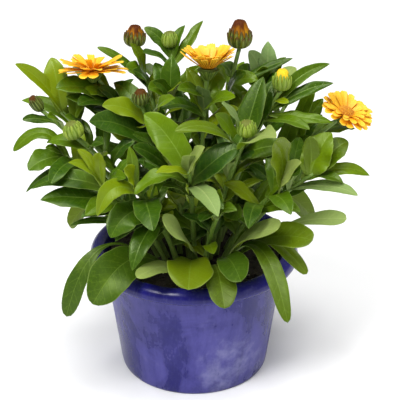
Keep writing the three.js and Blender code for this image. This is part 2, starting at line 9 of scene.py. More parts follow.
import bpy
import numpy as np
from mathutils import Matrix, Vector


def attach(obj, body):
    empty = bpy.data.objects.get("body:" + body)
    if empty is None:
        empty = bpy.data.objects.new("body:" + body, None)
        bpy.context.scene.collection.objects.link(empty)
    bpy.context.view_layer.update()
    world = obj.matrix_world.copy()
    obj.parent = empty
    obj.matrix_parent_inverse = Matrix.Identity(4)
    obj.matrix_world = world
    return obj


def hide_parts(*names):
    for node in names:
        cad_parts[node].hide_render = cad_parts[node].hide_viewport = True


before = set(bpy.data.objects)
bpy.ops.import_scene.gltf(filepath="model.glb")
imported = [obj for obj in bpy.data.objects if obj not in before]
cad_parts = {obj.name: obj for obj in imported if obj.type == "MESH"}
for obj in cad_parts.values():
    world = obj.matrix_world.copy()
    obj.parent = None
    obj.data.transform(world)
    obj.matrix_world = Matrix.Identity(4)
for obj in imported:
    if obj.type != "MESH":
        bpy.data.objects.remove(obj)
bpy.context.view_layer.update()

MM = 0.001
GOLDEN_ANGLE = math.radians(137.5)
UP = np.array([0.0, 0.0, 1.0])
LIGHT = np.array([0.0, -0.5, 1.0])  # the blades turn their upper sides this way

# ------------------------------------------------------------------ dimensions

POT = dict(height=127, rim=100, rim_depth=13.5, shoulder=86.5, foot=72.5, wall=3, floor=4,
           recess=2, ring=9, drain=9)
SOIL = dict(edge=115, crown=119, radius=81.6, foot=68, bottom=6.8)
STEM = dict(foot=2.8, top=1.8, root=14)
FILL = dict(low=0.26, high=0.97, neck=0.76, rise=12, steepen=48, width=0.35, arch=0.12)
SHOOT_LEAF = dict(stalk=0.0, neck=0.30, swell=0.9)
BASAL_LEAF = dict(neck=0.14, swell=1.6)
# A blade's half thickness, the groove over its midrib, the rib under it and how wide that is, the
# quilting between side veins and its step, and the least half width.
BLADE = dict(body=0.34, groove=0.30, rib=0.85, rib_width=1.1, quilt=0.16, step=7.5, least=0.12)
CUP = np.array([(1.6, -11), (3.0, -9.2), (5.4, -6.6), (7.2, -3.6), (8.0, -1.0), (7.4, -0.4)])
DISC = np.array([(7.0, 0.9), (7.2, 1.6), (6.2, 3.0), (4.2, 4.3), (1.8, 5.0), (0.4, 5.1)])
EGG = np.array([
    (0.30, 0.00), (0.60, 0.03), (0.80, 0.09), (0.93, 0.18), (1.00, 0.30), (0.99, 0.42),
    (0.92, 0.54), (0.82, 0.66), (0.70, 0.77), (0.58, 0.87), (0.46, 0.94), (0.30, 0.98),
    (0.10, 1.00),
])  # a bud's outline in shares of its radius and length
BUD_CAP = np.array([(1.7, -0.6), (3.0, -0.1), (3.6, 0.5), (2.0, 0.9)])
WHORL_STEP = 0.7  # each whorl of rays stands this much over the one outside it
BUD_LIFT = 0.35  # the bud stands this much over the end of its stem
# How many points a surface has along and across, or along and around.
RAY_GRID, BRACT_GRID, STEM_GRID, SOIL_GRID = (16, 11), (12, 7), (40, 14), (90, 260)
POT_SIDES = 192

# ------------------------------------------------------------------ the plant's layout
#
# A shoot is a foot (x, y) in the compost, a top (x, y, z), and leaves as (share of the way up
# the stem, tip x, y, z, width, arch, tint, turned over). Tint runs from -1, a darker blue-green,
# to 1, a paler yellow-green. It is partly the leaf's own hue and partly painted light and shade:
# darker for shaded leaves and brighter for lit ones. fill is (count, first bearing, length) for
# leaves added at the golden angle.

FLOWERS = dict(
    left=dict(
        foot=(-18, 6), top=(-91, 10, 296), axis=(0, 0.17, 1), radius=34, lifts=(-5, 28, 0.25),
        fill=(7, 100, 50), leaves=[
            (0.8, -122, -10, 287, 25, 5, -0.2), (0.84, -112, 38, 292, 18, 5, 0.2),
            (0.72, -62, 28, 270, 17, 5, -0.3), (0.84, -97, -4, 280, 17, 4, 0.1),
            (0.78, -102, -20, 276, 19, 4, -0.5), (0.7, -82, -24, 258, 20, 4, -0.7),
            (0.62, -111, -5, 281, 19, 5, -0.6), (0.66, -89, -12, 268, 17, 4, -0.4),
        ]),
    centre=dict(
        foot=(3, 1), top=(13, 2, 301), axis=(0, 0.1, 1), radius=31, lifts=(34, 50, 0.12),
        fill=(8, 20, 54), leaves=[
            (0.8, 27, 26, 295, 24, 4, -0.3), (0.82, -14, -18, 288, 16, 4, 0.2),
            (0.76, 36, -26, 284, 17, 4, 0.1), (0.72, -28, -16, 272, 18, 5, -0.2),
            (0.74, -5, 12, 298, 13, 3, 0.5),
        ]),
    right=dict(
        foot=(24, 4), top=(138, 0, 257), axis=(0.34, -0.3, 1), radius=27, lifts=(14, 40, 0.6),
        fill=(6, 60, 50), leaves=[
            (0.86, 152, 30, 232, 16, 5, 0.0), (0.72, 132, 36, 236, 18, 5, -0.2),
            (0.74, 119, 18, 266, 16, 4, -0.2), (0.7, 108, 8, 280, 17, 4, 0.1),
            (0.6, 94, 5, 252, 17, 4, -0.3), (0.55, 104, -6, 239, 16, 4, -0.1),
        ]),
)

BUDS = dict(
    tall=dict(
        foot=(9, 8), top=(42, 30, 311), axis=(0, -0.05, 1), radius=10.2, length=27, open=0.9,
        fill=(7, 208, 52), leaves=[
            (0.84, 26, 44, 292, 15, 3, -0.3), (0.8, 58, 16, 286, 16, 3, 0.0),
            (0.8, 92, 40, 298, 10, 2, 0.1),
        ]),
    back_left=dict(
        foot=(-9, 11), top=(-55, 50, 306), axis=(0.05, 0, 1), radius=9.2, length=21, open=0.7,
        fill=(7, 120, 52), leaves=[
            (0.86, -58, 38, 313, 11, 2, 0.5), (0.8, -62, 30, 292, 19, 4, 0.0),
            (0.78, -88, 42, 309, 10, 3, 0.2),
        ]),
    back=dict(
        foot=(-2, 15), top=(-22, 70, 299), axis=(-0.05, 0, 1), radius=7.2, length=16, open=0.1,
        fill=(6, 40, 52), leaves=[
            (0.93, -46, 73, 318, 13, 3, 0.0), (0.93, -9, 73, 320, 11, 3, 0.0),
            (0.9, 8, 76, 324, 11, 2, 0.3), (0.86, -46, 36, 305, 23, 5, -0.6),
        ]),
    right=dict(
        foot=(15, -5), top=(78, -10, 284), axis=(0.05, 0, 1), radius=7.6, length=20, open=0.5,
        fill=(6, 250, 48), leaves=[
            (0.86, 119, 0, 308, 12, 4, 0.2), (0.86, 124, -6, 291, 12, 3, 0.0),
            (0.84, 125, -16, 256, 12, 3, -0.2), (0.9, 92, 26, 296, 16, 3, 0.3, 1),
            (0.93, 84, -20, 276, 8, 1, 0.9), (0.8, 102, -34, 257, 13, 4, 0.1),
            (0.78, 70, 0, 290, 15, 4, -0.2), (0.62, 63, -22, 266, 15, 4, -0.4),
        ]),
    round=dict(
        foot=(13, -16), top=(45, -72, 266), axis=(-0.05, -0.2, 1), radius=7.6, length=14,
        open=0.0, fill=(6, 80, 46), leaves=[
            (0.95, 24, -82, 299, 14, 2, -0.4, 1), (0.86, 66, -104, 279, 25, 4, 0.3, 1),
            (0.84, -14, -92, 281, 15, 12, 0.4),
        ]),
    left=dict(
        foot=(-20, -13), top=(-103, -42, 252), axis=(-0.3, -0.1, 1), radius=8.2, length=16,
        open=0.15, fill=(6, 30, 46), leaves=[
            (0.9, -130, -34, 246, 15, 4, -0.2), (0.9, -78, -64, 256, 13, 3, 0.0),
        ]),
    middle=dict(
        foot=(-11, -6), top=(-47, -14, 272), axis=(0, 0, 1), radius=6.6, length=15, open=0.6,
        fill=(7, 190, 50), leaves=[
            (0.84, -80, -24, 276, 21, 5, 0.6), (0.7, -90, -38, 268, 25, 5, -0.7),
            (0.86, -72, 18, 284, 19, 5, -0.6), (0.86, -18, -34, 288, 16, 4, 0.2),
            (0.66, -53, -45, 256, 15, 4, -0.3),
        ]),
    withered=dict(
        foot=(-29, -5), top=(-137, -11, 266), axis=(-0.55, -0.15, 1), radius=4.4, length=16,
        open=0.2, fill=(3, 200, 44), leaves=[
            (0.9, -152, -22, 262, 9, 2, 0.1), (0.86, -128, -28, 268, 10, 3, 0.1),
        ]),
)

SHOOTS = dict(
    left_high=dict(
        foot=(-28, 4), top=(-121, 6, 258), fill=(6, 40, 50), leaves=[
            (0.97, -157, 0, 307, 14, 4, 0.7), (1.0, -129, 20, 305, 22, 5, 0.7),
            (0.9, -113, 4, 286, 15, 4, 0.4), (0.8, -160, 30, 262, 18, 8, -0.1),
        ]),
    left_mid=dict(
        foot=(-27, -12), top=(-116, -30, 230), fill=(6, 120, 48), leaves=[
            (0.97, -161, -30, 235, 14, 20, 0.2), (0.98, -146, -48, 224, 21, 4, -0.3),
            (0.9, -123, -74, 224, 16, 8, -0.5), (0.84, -151, -42, 200, 12, 9, 0.0),
            (1.0, -130, -44, 244, 8, 2, 0.2),
        ]),
    left_low=dict(
        foot=(-21, -20), top=(-80, -62, 214), fill=(6, 60, 46), leaves=[
            (1.0, -80, -73, 252, 12, 3, 0.8), (0.94, -142, -60, 214, 18, 9, 0.0),
            (0.8, -134, -66, 207, 26, 3, -0.1), (0.97, -105, -73, 244, 12, 3, 0.7),
            (1.0, -97, -66, 252, 9, 2, 0.8), (0.95, -58, -84, 232, 14, 6, 0.1),
            (0.66, -94, -78, 196, 20, 7, -0.4), (0.52, -110, -58, 178, 9, 5, -0.3),
            (0.6, -98, -75, 193, 18, 6, -0.6),
        ]),
    front_left=dict(
        foot=(-12, -24), top=(-50, -80, 218), fill=(6, 10, 44), leaves=[
            (1.0, -58, -92, 245, 15, 3, 0.8), (1.0, -53, -78, 258, 10, 2, 0.3),
            (0.94, -82, -102, 207, 17, 14, 0.55), (0.84, -34, -119, 203, 24, 8, -0.3),
            (0.74, -72, -96, 184, 27, 8, -0.5), (0.56, -54, -104, 156, 21, 14, -0.3),
            (0.6, -68, -92, 179, 22, 8, -0.7), (0.5, -53, -100, 162, 14, 6, -0.3),
        ]),
    front_centre=dict(
        foot=(1, -25), top=(-4, -86, 238), fill=(8, 30, 46), leaves=[
            (0.98, 9, -101, 267, 18, 3, 0.5, 1), (0.97, -31, -105, 246, 11, 3, 0.9),
            (0.84, -50, -92, 221, 17, 13, 0.1), (0.82, 20, -119, 213, 19, 8, -0.3, 1),
            (0.94, -41, -58, 281, 26, 4, -0.1), (0.86, 37, -74, 258, 24, 4, -0.8),
            (0.72, 25, -97, 209, 14, 6, -0.9),
        ]),
    right_front=dict(
        foot=(22, -18), top=(76, -68, 214), fill=(7, 0, 48), leaves=[
            (1.0, 68, -84, 266, 25, 5, 0.5), (0.95, 90, -82, 246, 22, 3, 0.7, 1),
            (0.86, 82, -100, 208, 18, 7, -0.5), (0.74, 46, -104, 196, 16, 8, -0.3),
            (0.62, 92, -70, 196, 16, 5, -0.3),
        ]),
    right_mid=dict(
        foot=(28, -7), top=(108, -32, 212), fill=(6, 90, 48), leaves=[
            (0.97, 122, -24, 249, 29, 5, 0.3), (0.97, 102, -38, 251, 15, 3, 0.4),
            (1.0, 138, -20, 240, 24, 4, 0.3), (0.98, 161, -20, 206, 13, 7, 0.3),
            (0.92, 134, -44, 208, 12, 5, 0.2), (0.8, 145, -54, 204, 14, 3, -0.3, 1),
            (0.84, 95, -20, 243, 18, 4, -0.5),
        ]),
    middle_right=dict(
        foot=(19, -10), top=(44, -36, 244), fill=(8, 150, 50), leaves=[
            (0.96, 61, -14, 298, 23, 3, 0.1), (0.9, 20, -46, 276, 17, 4, 0.0),
            (0.84, 84, -48, 246, 18, 6, 0.2), (0.84, 62, -38, 240, 18, 4, -0.5),
        ]),
    middle=dict(
        foot=(-3, -14), top=(-22, -46, 226), fill=(10, 75, 54), leaves=[
            (0.94, -8, -66, 268, 17, 4, -0.1), (0.9, -52, -62, 252, 18, 5, -0.3),
            (0.9, -3, -45, 266, 16, 4, -0.5), (0.8, -22, -62, 262, 15, 4, -0.4),
        ]),
    upper_centre=dict(
        foot=(-3, 7), top=(-22, 22, 267), fill=(7, 118, 50), leaves=[
            (0.97, -20, 30, 303, 19, 3, -0.3), (0.9, -35, 40, 294, 18, 4, -0.6),
            (0.97, -40, 5, 281, 17, 4, 0.1), (0.95, -14, 0, 287, 15, 3, 0.6),
        ]),
    upper_right=dict(
        foot=(18, 21), top=(68, 42, 264), fill=(8, 70, 50), leaves=[
            (0.97, 53, 38, 306, 19, 3, -0.6, 1), (1.0, 69, 48, 311, 18, 3, -0.8, 1),
            (1.0, 84, 45, 298, 12, 2, 0.0), (0.93, 42, 25, 294, 20, 4, 0.1),
            (0.93, 63, 30, 294, 18, 3, 0.2),
        ]),
    low_centre=dict(
        foot=(8, -33), top=(20, -80, 192), fill=(6, 140, 38), leaves=[
            (1.0, 36, -92, 206, 13, 5, 0.2), (0.94, 6, -97, 199, 14, 5, -0.3),
            (1.0, 22, -84, 222, 11, 2, 0.3),
        ]),
    back_left=dict(
        foot=(-18, 17), top=(-98, 68, 252), fill=(9, 145, 54), leaves=[

        ]),
    back=dict(
        foot=(-6, 25), top=(-38, 112, 246), fill=(10, 80, 56), leaves=[

        ]),
    back_centre=dict(
        foot=(10, 24), top=(40, 104, 252), fill=(10, 35, 56), leaves=[

        ]),
    back_right=dict(
        foot=(20, 13), top=(94, 62, 250), fill=(9, 5, 54), leaves=[

        ]),
)

# A basal leaf is (foot x, y, z, tip x, y, z, width, arch, stalk's share, tint, turned over).
# Its tint, as for the shoots' leaves, is partly hue and partly painted light and shade.
BASAL_LEAVES = dict(
    left=(-34, -27, 116, -116, -82, 95, 20, 54, 0.45, -0.7, 0),
    front_left=(-20, -33, 116, -88, -112, 126, 38, 26, 0.1, -0.7, 0),
    front_pale=(-2, -37, 118, -48, -116, 156, 19, 10, 0.2, 0.4, 1),
    front_yellow=(-1, -40, 116, -5, -122, 147, 42, 20, 0.2, 0.45, 0),
    front_low=(12, -40, 116, 26, -124, 127, 27, 24, 0.25, 0.1, 0),
    front_dark=(20, -36, 116, 40, -110, 148, 27, 18, 0.2, -0.8, 0),
    front_right=(26, -30, 116, 80, -130, 118, 17, 46, 0, -0.4, 0),
    right_narrow=(34, -22, 116, 100, -82, 138, 14, 36, 0.15, 0.2, 0),
    right_pale=(23, -42, 118, 71, -104, 193, 31, 12, 0.1, 0.3, 1),
    right_broad=(30, -33, 118, 101, -92, 179, 28, 16, 0.2, 0.15, 0),
    right_spoon=(37, -12, 116, 136, -58, 180, 17, 12, 0.5, 0.0, 1),
    centre_pale=(10, -48, 116, -24, -112, 202, 30, 9, 0.3, 0.2, 1),
    back_right=(38, 14, 116, 122, 58, 122, 30, 44, 0.2, 0.0, 0),
    back_far_right=(28, 31, 116, 78, 112, 118, 34, 44, 0.2, 0.2, 0),
    back=(4, 40, 116, 10, 130, 116, 32, 42, 0.2, -0.2, 0),
    back_far_left=(-24, 33, 116, -74, 114, 124, 32, 42, 0.2, 0.1, 0),
    back_left=(-38, 16, 116, -126, 52, 118, 30, 46, 0.2, 0.3, 0),
)

# ------------------------------------------------------------------ vectors and meshes


def unit(v):
    """Each vector divided by its length."""
    return v / np.linalg.norm(v, axis=-1, keepdims=True)


def squared(direction, along):
    """The part of direction square to the unit vectors along, made unit length."""
    dot = np.sum(direction * along, axis=-1, keepdims=True)
    return unit(direction - dot * along)


def chances(rng, count):
    """A function that draws one random number for each of count things, as a column."""
    return lambda low, high: rng.uniform(low, high, (count, 1, 1))


def sheet(top, bottom, uv, marks):
    """Closed shells between two matching grids of points, each (count, rows, columns, 3): the
    top faces up, the bottom is its copy turned over, and walls join the four edges."""
    count, rows, columns = top.shape[:3]
    index = np.arange(rows * columns).reshape(rows, columns)
    under = index + rows * columns

    def quads(grid):
        corners = (grid[:-1, :-1], grid[:-1, 1:], grid[1:, 1:], grid[1:, :-1])
        return np.stack(corners, axis=-1).reshape(-1, 4)

    loop = np.concatenate([index[0, :-1], index[:-1, -1], index[-1, :0:-1], index[:0:-1, 0]])
    onward = np.roll(loop, -1)
    lower = rows * columns
    wall = np.stack([loop, loop + lower, onward + lower, onward], axis=-1)
    one = np.concatenate([quads(index), quads(under)[:, ::-1], wall])
    each = 2 * rows * columns
    faces = (one[None] + each * np.arange(count)[:, None, None]).reshape(-1, 4)
    points = np.stack([top, bottom], axis=1).reshape(-1, 3)
    under_mark = np.zeros((count, 2, rows, columns))
    under_mark[:, 1] = 1
    both = {name: np.stack([value, value], axis=1).reshape(-1) for name, value in marks.items()}
    both["underside"] = under_mark.reshape(-1)
    uv_points = np.stack([uv, uv], axis=1).reshape(-1, 2)
    return dict(points=points, quads=faces, tris=np.zeros((0, 3), int), uv=uv_points, marks=both)


def tube(rings, start, end, uv, marks):
    """Closed tubes through rings of points (count, rows, around, 3), with a pole (count, 3) at
    each end."""
    count, rows, around = rings.shape[:3]
    index = np.arange(rows * around).reshape(rows, around)
    onward = np.roll(index, -1, axis=1)
    corners = (index[:-1], onward[:-1], onward[1:], index[1:])
    one = np.stack(corners, axis=-1).reshape(-1, 4)
    first = np.stack([onward[0], index[0], np.full(around, rows * around)], axis=-1)
    last = np.stack([index[-1], onward[-1], np.full(around, rows * around + 1)], axis=-1)
    each = rows * around + 2
    step = each * np.arange(count)[:, None, None]
    poles = np.stack([start, end], axis=1)
    points = np.concatenate([rings.reshape(count, -1, 3), poles], axis=1).reshape(-1, 3)
    ends = [uv.reshape(count, -1, 2), uv[:, 0, :1], uv[:, -1, :1]]
    uv_points = np.concatenate(ends, axis=1).reshape(-1, 2)
    spread = {}
    for name, value in marks.items():
        parts = [value.reshape(count, -1), value[:, 0, :1], value[:, -1, :1]]
        spread[name] = np.concatenate(parts, axis=1).reshape(-1)
    return dict(
        points=points,
        quads=(one[None] + step).reshape(-1, 4),
        tris=(np.concatenate([first, last])[None] + step).reshape(-1, 3),
        uv=uv_points,
        marks=spread,
    )


def merged(shapes):
    """Several shapes as one, their points numbered one after another."""
    starts = np.cumsum([0] + [len(s["points"]) for s in shapes[:-1]])
    names = shapes[0]["marks"]
    return dict(
        points=np.concatenate([s["points"] for s in shapes]),
        quads=np.concatenate([s["quads"] + k for s, k in zip(shapes, starts)]),
        tris=np.concatenate([s["tris"] + k for s, k in zip(shapes, starts)]),
        uv=np.concatenate([s["uv"] for s in shapes]),
        marks={n: np.concatenate([s["marks"][n] for s in shapes]) for n in names},
    )


def enclosed_volume(shape):
    """The signed volume inside a closed shape, by the divergence theorem over its triangles."""
    p, q, t = shape["points"], shape["quads"], shape["tris"]
    triangles = np.concatenate([q[:, [0, 1, 2]], q[:, [0, 2, 3]], t])
    a, b, c = p[triangles[:, 0]], p[triangles[:, 1]], p[triangles[:, 2]]
    return float(np.sum(a * np.cross(b, c)) / 6)


def make_piece(name, shape, finish, slot, *nodes):
    """One mesh object from a shape in millimetres, riding on the body and standing for nodes."""
    quads, tris = shape["quads"], shape["tris"]
    if enclosed_volume(shape) < 0:
        quads, tris = quads[:, ::-1], tris[:, ::-1]
    corners = np.concatenate([quads.reshape(-1), tris.reshape(-1)]).astype(np.int32)
    sizes = np.concatenate([np.full(len(quads), 4), np.full(len(tris), 3)])
    starts = (np.cumsum(sizes) - sizes).astype(np.int32)
    mesh = bpy.data.meshes.new(name)
    mesh.vertices.add(len(shape["points"]))
    mesh.vertices.foreach_set("co", (shape["points"] * MM).astype(np.float32).reshape(-1))
    mesh.loops.add(len(corners))
    mesh.loops.foreach_set("vertex_index", corners)
    mesh.polygons.add(len(starts))
    mesh.polygons.foreach_set("loop_start", starts)
    mesh.polygons.foreach_set("use_smooth", np.ones(len(starts), bool))
    layer = mesh.uv_layers.new(name="along")
    layer.data.foreach_set("uv", shape["uv"][corners].astype(np.float32).reshape(-1))
    for mark, values in shape["marks"].items():
        attribute = mesh.attributes.new(mark, "FLOAT", "POINT")
        attribute.data.foreach_set("value", values.astype(np.float32))
    mesh.update(calc_edges=True)
    mesh.materials.append(finish)
    piece = bpy.data.objects.new(name, mesh)
    bpy.context.scene.collection.objects.link(piece)
    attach(piece, "root")
    if nodes:
        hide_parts(*nodes)
    return piece


# ------------------------------------------------------------------ leaves

ACROSS = np.array([-1, -0.95, -0.82, -0.62, -0.4, -0.2, -0.07, 0, 0.07, 0.2, 0.4, 0.62, 0.82,
                   0.95, 1])
ALONG = 1 - (1 - np.linspace(0, 1, 25)) ** 1.5


def blade_width(share, stalk, neck, swell, point):
    """Half the blade's width as a share of its widest half: a neck that fades at the tip, plus a
    spoon q^swell (1 - q)^point over the part past the stalk, scaled to reach 1."""
    q = np.clip((share - stalk) / (1 - stalk), 0, 1)
    peak = swell / (swell + point)
    spoon = q**swell * (1 - q) ** point / (peak**swell * (1 - peak) ** point)
    return neck * (1 - share**6) + (1 - neck) * spoon


def leaf_blades(rows, seed):
    """Leaves as closed sheets. The midrib is the chord from base to tip raised by a parabola of
    height arch and swayed by half a sine. Across it the blade folds up as a power of the
    distance from the midrib, rolls down again near its edge, and its edge waves. The outline
    swells and pinches as a sum of two sines, and the last third of the blade curls down as a
    square. Thickness falls to a thin margin, with a groove over the midrib and a rib under it."""
    count = len(rows["base"])
    chance = chances(np.random.default_rng(seed), count)
    phase = np.random.default_rng(seed + 7000).uniform(0, 1, (4, count, 1, 1))

    base, tip = np.array(rows["base"], float), np.array(rows["tip"], float)
    width, arch, stalk, neck, swell, tint_and_painted_light, over = (
        np.array(rows[key], float).reshape(count, 1, 1)
        for key in ("width", "arch", "stalk", "neck", "swell", "tint_and_painted_light", "over")
    )
    basal = swell > 1
    s = ALONG.reshape(1, -1, 1)
    v = ACROSS.reshape(1, 1, -1)
    chord = tip - base
    length = np.linalg.norm(chord, axis=-1).reshape(count, 1, 1)
    direction = unit(chord)
    bow = squared(UP, direction)
    upper = squared(LIGHT, direction)
    side = np.cross(direction, upper)
    sway = chance(-0.05, 0.05) * length * np.sin(math.pi * s)
    rise = arch * 4 * s * (1 - s)
    drop = np.where(basal, 0.03, 0.08) * phase[3] * length
    rise = rise - drop * np.clip((s - 0.66) / 0.34, 0, 1) ** 2
    middle = (
        base[:, None] + chord[:, None] * s
        + bow[:, None] * rise
        + side[:, None] * sway
    )
    tangent = unit(np.gradient(middle, ALONG, axis=1))
    normal = squared(np.broadcast_to(upper[:, None], tangent.shape), tangent)
    across = np.cross(tangent, normal)
    twist = chance(-0.6, 0.6) * (s - 0.3) + chance(-0.25, 0.25)
    twist = twist * np.where(basal, 0.5, 1) + math.pi * over
    cos, sin = np.cos(twist), np.sin(twist)
    across, normal = cos * across + sin * normal, cos * normal - sin * across

    point_power = np.where(basal, chance(0.40, 0.52), chance(0.48, 0.95))
    half = width / 2 * blade_width(s, stalk, neck, swell, point_power) + BLADE["least"]
    turn = np.where(v < 0, phase[0], phase[1])
    uneven = 0.030 * np.sin(2 * math.pi * (3.1 * s + turn))
    uneven = uneven + 0.018 * np.sin(2 * math.pi * (7.3 * s + phase[2] + turn))
    half = half * (1 + uneven)
    fold = chance(0.10, 0.34) * np.where(over > 0.5, -0.3, 1)
    curl = chance(0.02, 0.22)
    spread = np.abs(v)
    wave = chance(0.06, 0.21) * np.sin(
        2 * math.pi * (chance(1.2, 2.6) * s + np.where(v < 0, chance(0, 1), chance(0, 1)))
    )
    lift = half * (fold * spread**1.35 - curl * spread**4 + wave * spread**2)
    run = s * length - 0.55 * spread * half
    quilt = BLADE["quilt"] * np.cos(2 * math.pi * run / BLADE["step"])
    lift = lift + quilt * (1 - spread) * spread * 4 * (1 - s)
    point = middle[:, :, None] + across[:, :, None] * (half * v)[..., None]
    point = point + normal[:, :, None] * lift[..., None]

    body = BLADE["body"] * np.sqrt(1 - 0.86 * v**4) * np.clip(half / 3, 0.25, 1)
    rib = np.exp(-((half * v / BLADE["rib_width"]) ** 2)) * (1.05 - s)
    top = point + normal[:, :, None] * (body - BLADE["groove"] * rib)[..., None]
    bottom = point - normal[:, :, None] * (body + BLADE["rib"] * rib)[..., None]

    full = np.ones((count, len(ALONG), len(ACROSS)))
    uv = np.stack([s * length * full / 100, half * v * full / 100], axis=-1)
    marks = dict(
        edge=spread * full, share=s * full, tint_and_painted_light=tint_and_painted_light * full, chance=chance(0, 1) * full
    )
    return sheet(top, bottom, uv, marks)


def stem_curve(shoot, t):
    """Points at shares t along a stem: a quadratic Bezier curve whose middle control lies low
    and near the foot, so that the stem rises steeply and then leans out."""
    foot = np.array([*shoot["foot"], SOIL["edge"] - STEM["root"]], float)
    top = np.array(shoot["top"], float)
    control = foot + (top - foot) * np.array([0.35, 0.35, 0.62])
    t = np.asarray(t, float)[..., None]
    return (1 - t) ** 2 * foot + 2 * t * (1 - t) * control + t**2 * top


def leaf_rows(shoot):
    """The leaves listed for a shoot, then its fill: each next leaf turns by the golden angle,
    and the higher it stands the steeper and shorter it is."""
    rows = dict(base=[], tip=[], width=[], arch=[], tint_and_painted_light=[], over=[])
    for row in shoot["leaves"]:
        t, x, y, z, width, arch, tint_and_painted_light, over = (*row, 0)[:8]
        values = (stem_curve(shoot, t), (x, y, z), width, arch, tint_and_painted_light, over)
        for key, value in zip(rows, values):
            rows[key].append(value)
    count, first_bearing, size = shoot["fill"]
    high = FILL["neck"] if "axis" in shoot else FILL["high"]
    for k in range(count):
        share = (k + 0.5) / count
        base = stem_curve(shoot, FILL["low"] + (high - FILL["low"]) * share)
        bearing = math.radians(first_bearing) + GOLDEN_ANGLE * k
        rise = math.radians(FILL["rise"] + FILL["steepen"] * share)
        length = size * (1.05 - 0.3 * share)
        reach = np.array([
            math.cos(rise) * math.cos(bearing),
            math.cos(rise) * math.sin(bearing),
            math.sin(rise),
        ])
        tint_and_painted_light = 0.7 * math.sin(5.1 * k + first_bearing)
        width, arch = length * FILL["width"], length * FILL["arch"]
        for key, value in zip(rows, (base, base + length * reach, width, arch, tint_and_painted_light, 0)):
            rows[key].append(value)
    total = len(rows["tip"])
    return {**rows, **{key: [value] * total for key, value in SHOOT_LEAF.items()}}


def stem_tubes(shoot, seed):
    """One stem as a tube along its curve. The radius tapers from foot to top, swells a little
    by turns, and has five shallow ribs that wind round it."""
    rng = np.random.default_rng(seed)
    t = np.linspace(0, 1, STEM_GRID[0])
    centre = stem_curve(shoot, t)
    tangent = unit(np.gradient(centre, t, axis=0))
    side = unit(np.cross([0.0, 1.0, 0.0], tangent))
    front = np.cross(tangent, side)
    angle = np.linspace(0, 2 * math.pi, STEM_GRID[1], endpoint=False)
    radius = STEM["foot"] + (STEM["top"] - STEM["foot"]) * t[:, None]
    radius = radius * (1 + 0.05 * np.sin(5 * angle + 4 * t[:, None] + rng.uniform(0, 6)))
    radius = radius * (1 + 0.06 * np.sin(23 * t[:, None] + rng.uniform(0, 6)))
    ring = (
        centre[:, None]
        + side[:, None] * (radius * np.cos(angle))[..., None]
        + front[:, None] * (radius * np.sin(angle))[..., None]
    )
    full = np.ones((1, *radius.shape))
    run = t[:, None] * full
    uv = np.stack([run * 2, angle / (2 * math.pi) * full], axis=-1)
    marks = dict(share=run, chance=rng.uniform(0, 1) * full)
    return tube(ring[None], centre[:1], centre[-1:], uv, marks)


# ------------------------------------------------------------------ flower heads and buds


def placed(shape, top, axis):
    """A shape made at the origin along +Z, turned onto axis and moved to top."""
    z = unit(np.array(axis, float))
    x = unit(np.cross([0.0, 1.0, 0.0], z))
    turn = np.stack([x, np.cross(z, x), z])
    return {**shape, "points": shape["points"] @ turn + np.array(top, float)}


def turned(profile, edge, around=48):
    """A surface of revolution about Z through [radius, height] points from one end of the axis
    to the other. edge is the mark that the bracts and petals carry across them."""
    angle = np.linspace(0, 2 * math.pi, around, endpoint=False)
    radius, height = profile[:, :1], profile[:, 1:]
    full = np.ones((len(profile), around))
    ring = np.stack([radius * np.cos(angle), radius * np.sin(angle), height * full], axis=-1)
    run = np.linspace(0, 1, len(profile))[:, None] * full
    uv = np.stack([run, angle / (2 * math.pi) * full], axis=-1)
    poles = np.array([[0, 0, profile[0, 1]], [0, 0, profile[-1, 1]]])
    full = full[None]
    marks = dict(share=run[None], chance=0.5 * full, edge=edge * full, underside=0 * full)
    return tube(ring[None], poles[:1], poles[1:], uv[None], marks)


def ray_florets(radius, lift_low, lift_high, flatten, count, root, seed):
    """A whorl of strap-shaped rays. Each leaves the root circle at its own lift and loses the
    share flatten of it as it runs out. It widens as a sine to three fifths of its length, ends
    in three blunt teeth, and has four shallow grooves along it."""
    chance = chances(np.random.default_rng(seed), count)
    s = np.linspace(0, 1, RAY_GRID[0]).reshape(1, -1, 1)
    v = np.linspace(-1, 1, RAY_GRID[1]).reshape(1, 1, -1)

    bearing = np.arange(count).reshape(-1, 1, 1) * 2 * math.pi / count + chance(-0.07, 0.07)
    length = (radius - root) * chance(0.9, 1.03)
    start = np.radians(chance(lift_low, lift_high))
    slope = start * (1 - flatten * s) + np.radians(chance(-16, 12)) * s**2
    teeth = 0.045 * (0.5 - 0.5 * np.cos(3 * math.pi * (v + 1))) + 0.05 * v**2
    step = length / (s.size - 1)
    out = root + (np.cumsum(np.cos(slope), axis=1) - np.cos(slope[:, :1])) * step
    up = (np.cumsum(np.sin(slope), axis=1) - np.sin(slope[:, :1])) * step
    reach = 1 - teeth * s**6
    swell = np.sin(np.clip(s * 0.86 + 0.12, 0, 1) * math.pi * 0.62)
    half = (0.2 + radius / 8.2 * swell) * chance(0.85, 1.15)
    half = half * (1 - 0.30 * np.clip((s - 0.8) / 0.2, 0, 1) ** 2)
    trough = half * chance(0.05, 0.25) * v**2
    groove = 0.10 * np.cos(4 * math.pi * v) * np.clip(3 * s, 0, 1)
    out = root + (out - root) * reach
    sideways = half * v * (1 + 0 * s)
    lift = up * reach + (trough + groove) + chance(-0.6, 0.6) * s * v
    normal_out, normal_up = -np.sin(slope), np.cos(slope)

    def shell(offset):
        r = out + normal_out * offset
        x = r * np.cos(bearing) - sideways * np.sin(bearing)
        y = r * np.sin(bearing) + sideways * np.cos(bearing)
        return np.stack([x, y, lift + normal_up * offset], axis=-1)

    full = np.ones(sideways.shape)
    thick = 0.16 * full
    marks = dict(edge=np.abs(v) * full, share=s * full, chance=chance(0, 1) * full)
    uv = np.stack([s * length * full / 100, sideways / 100], axis=-1)
    return sheet(shell(thick), shell(-thick), uv, marks)


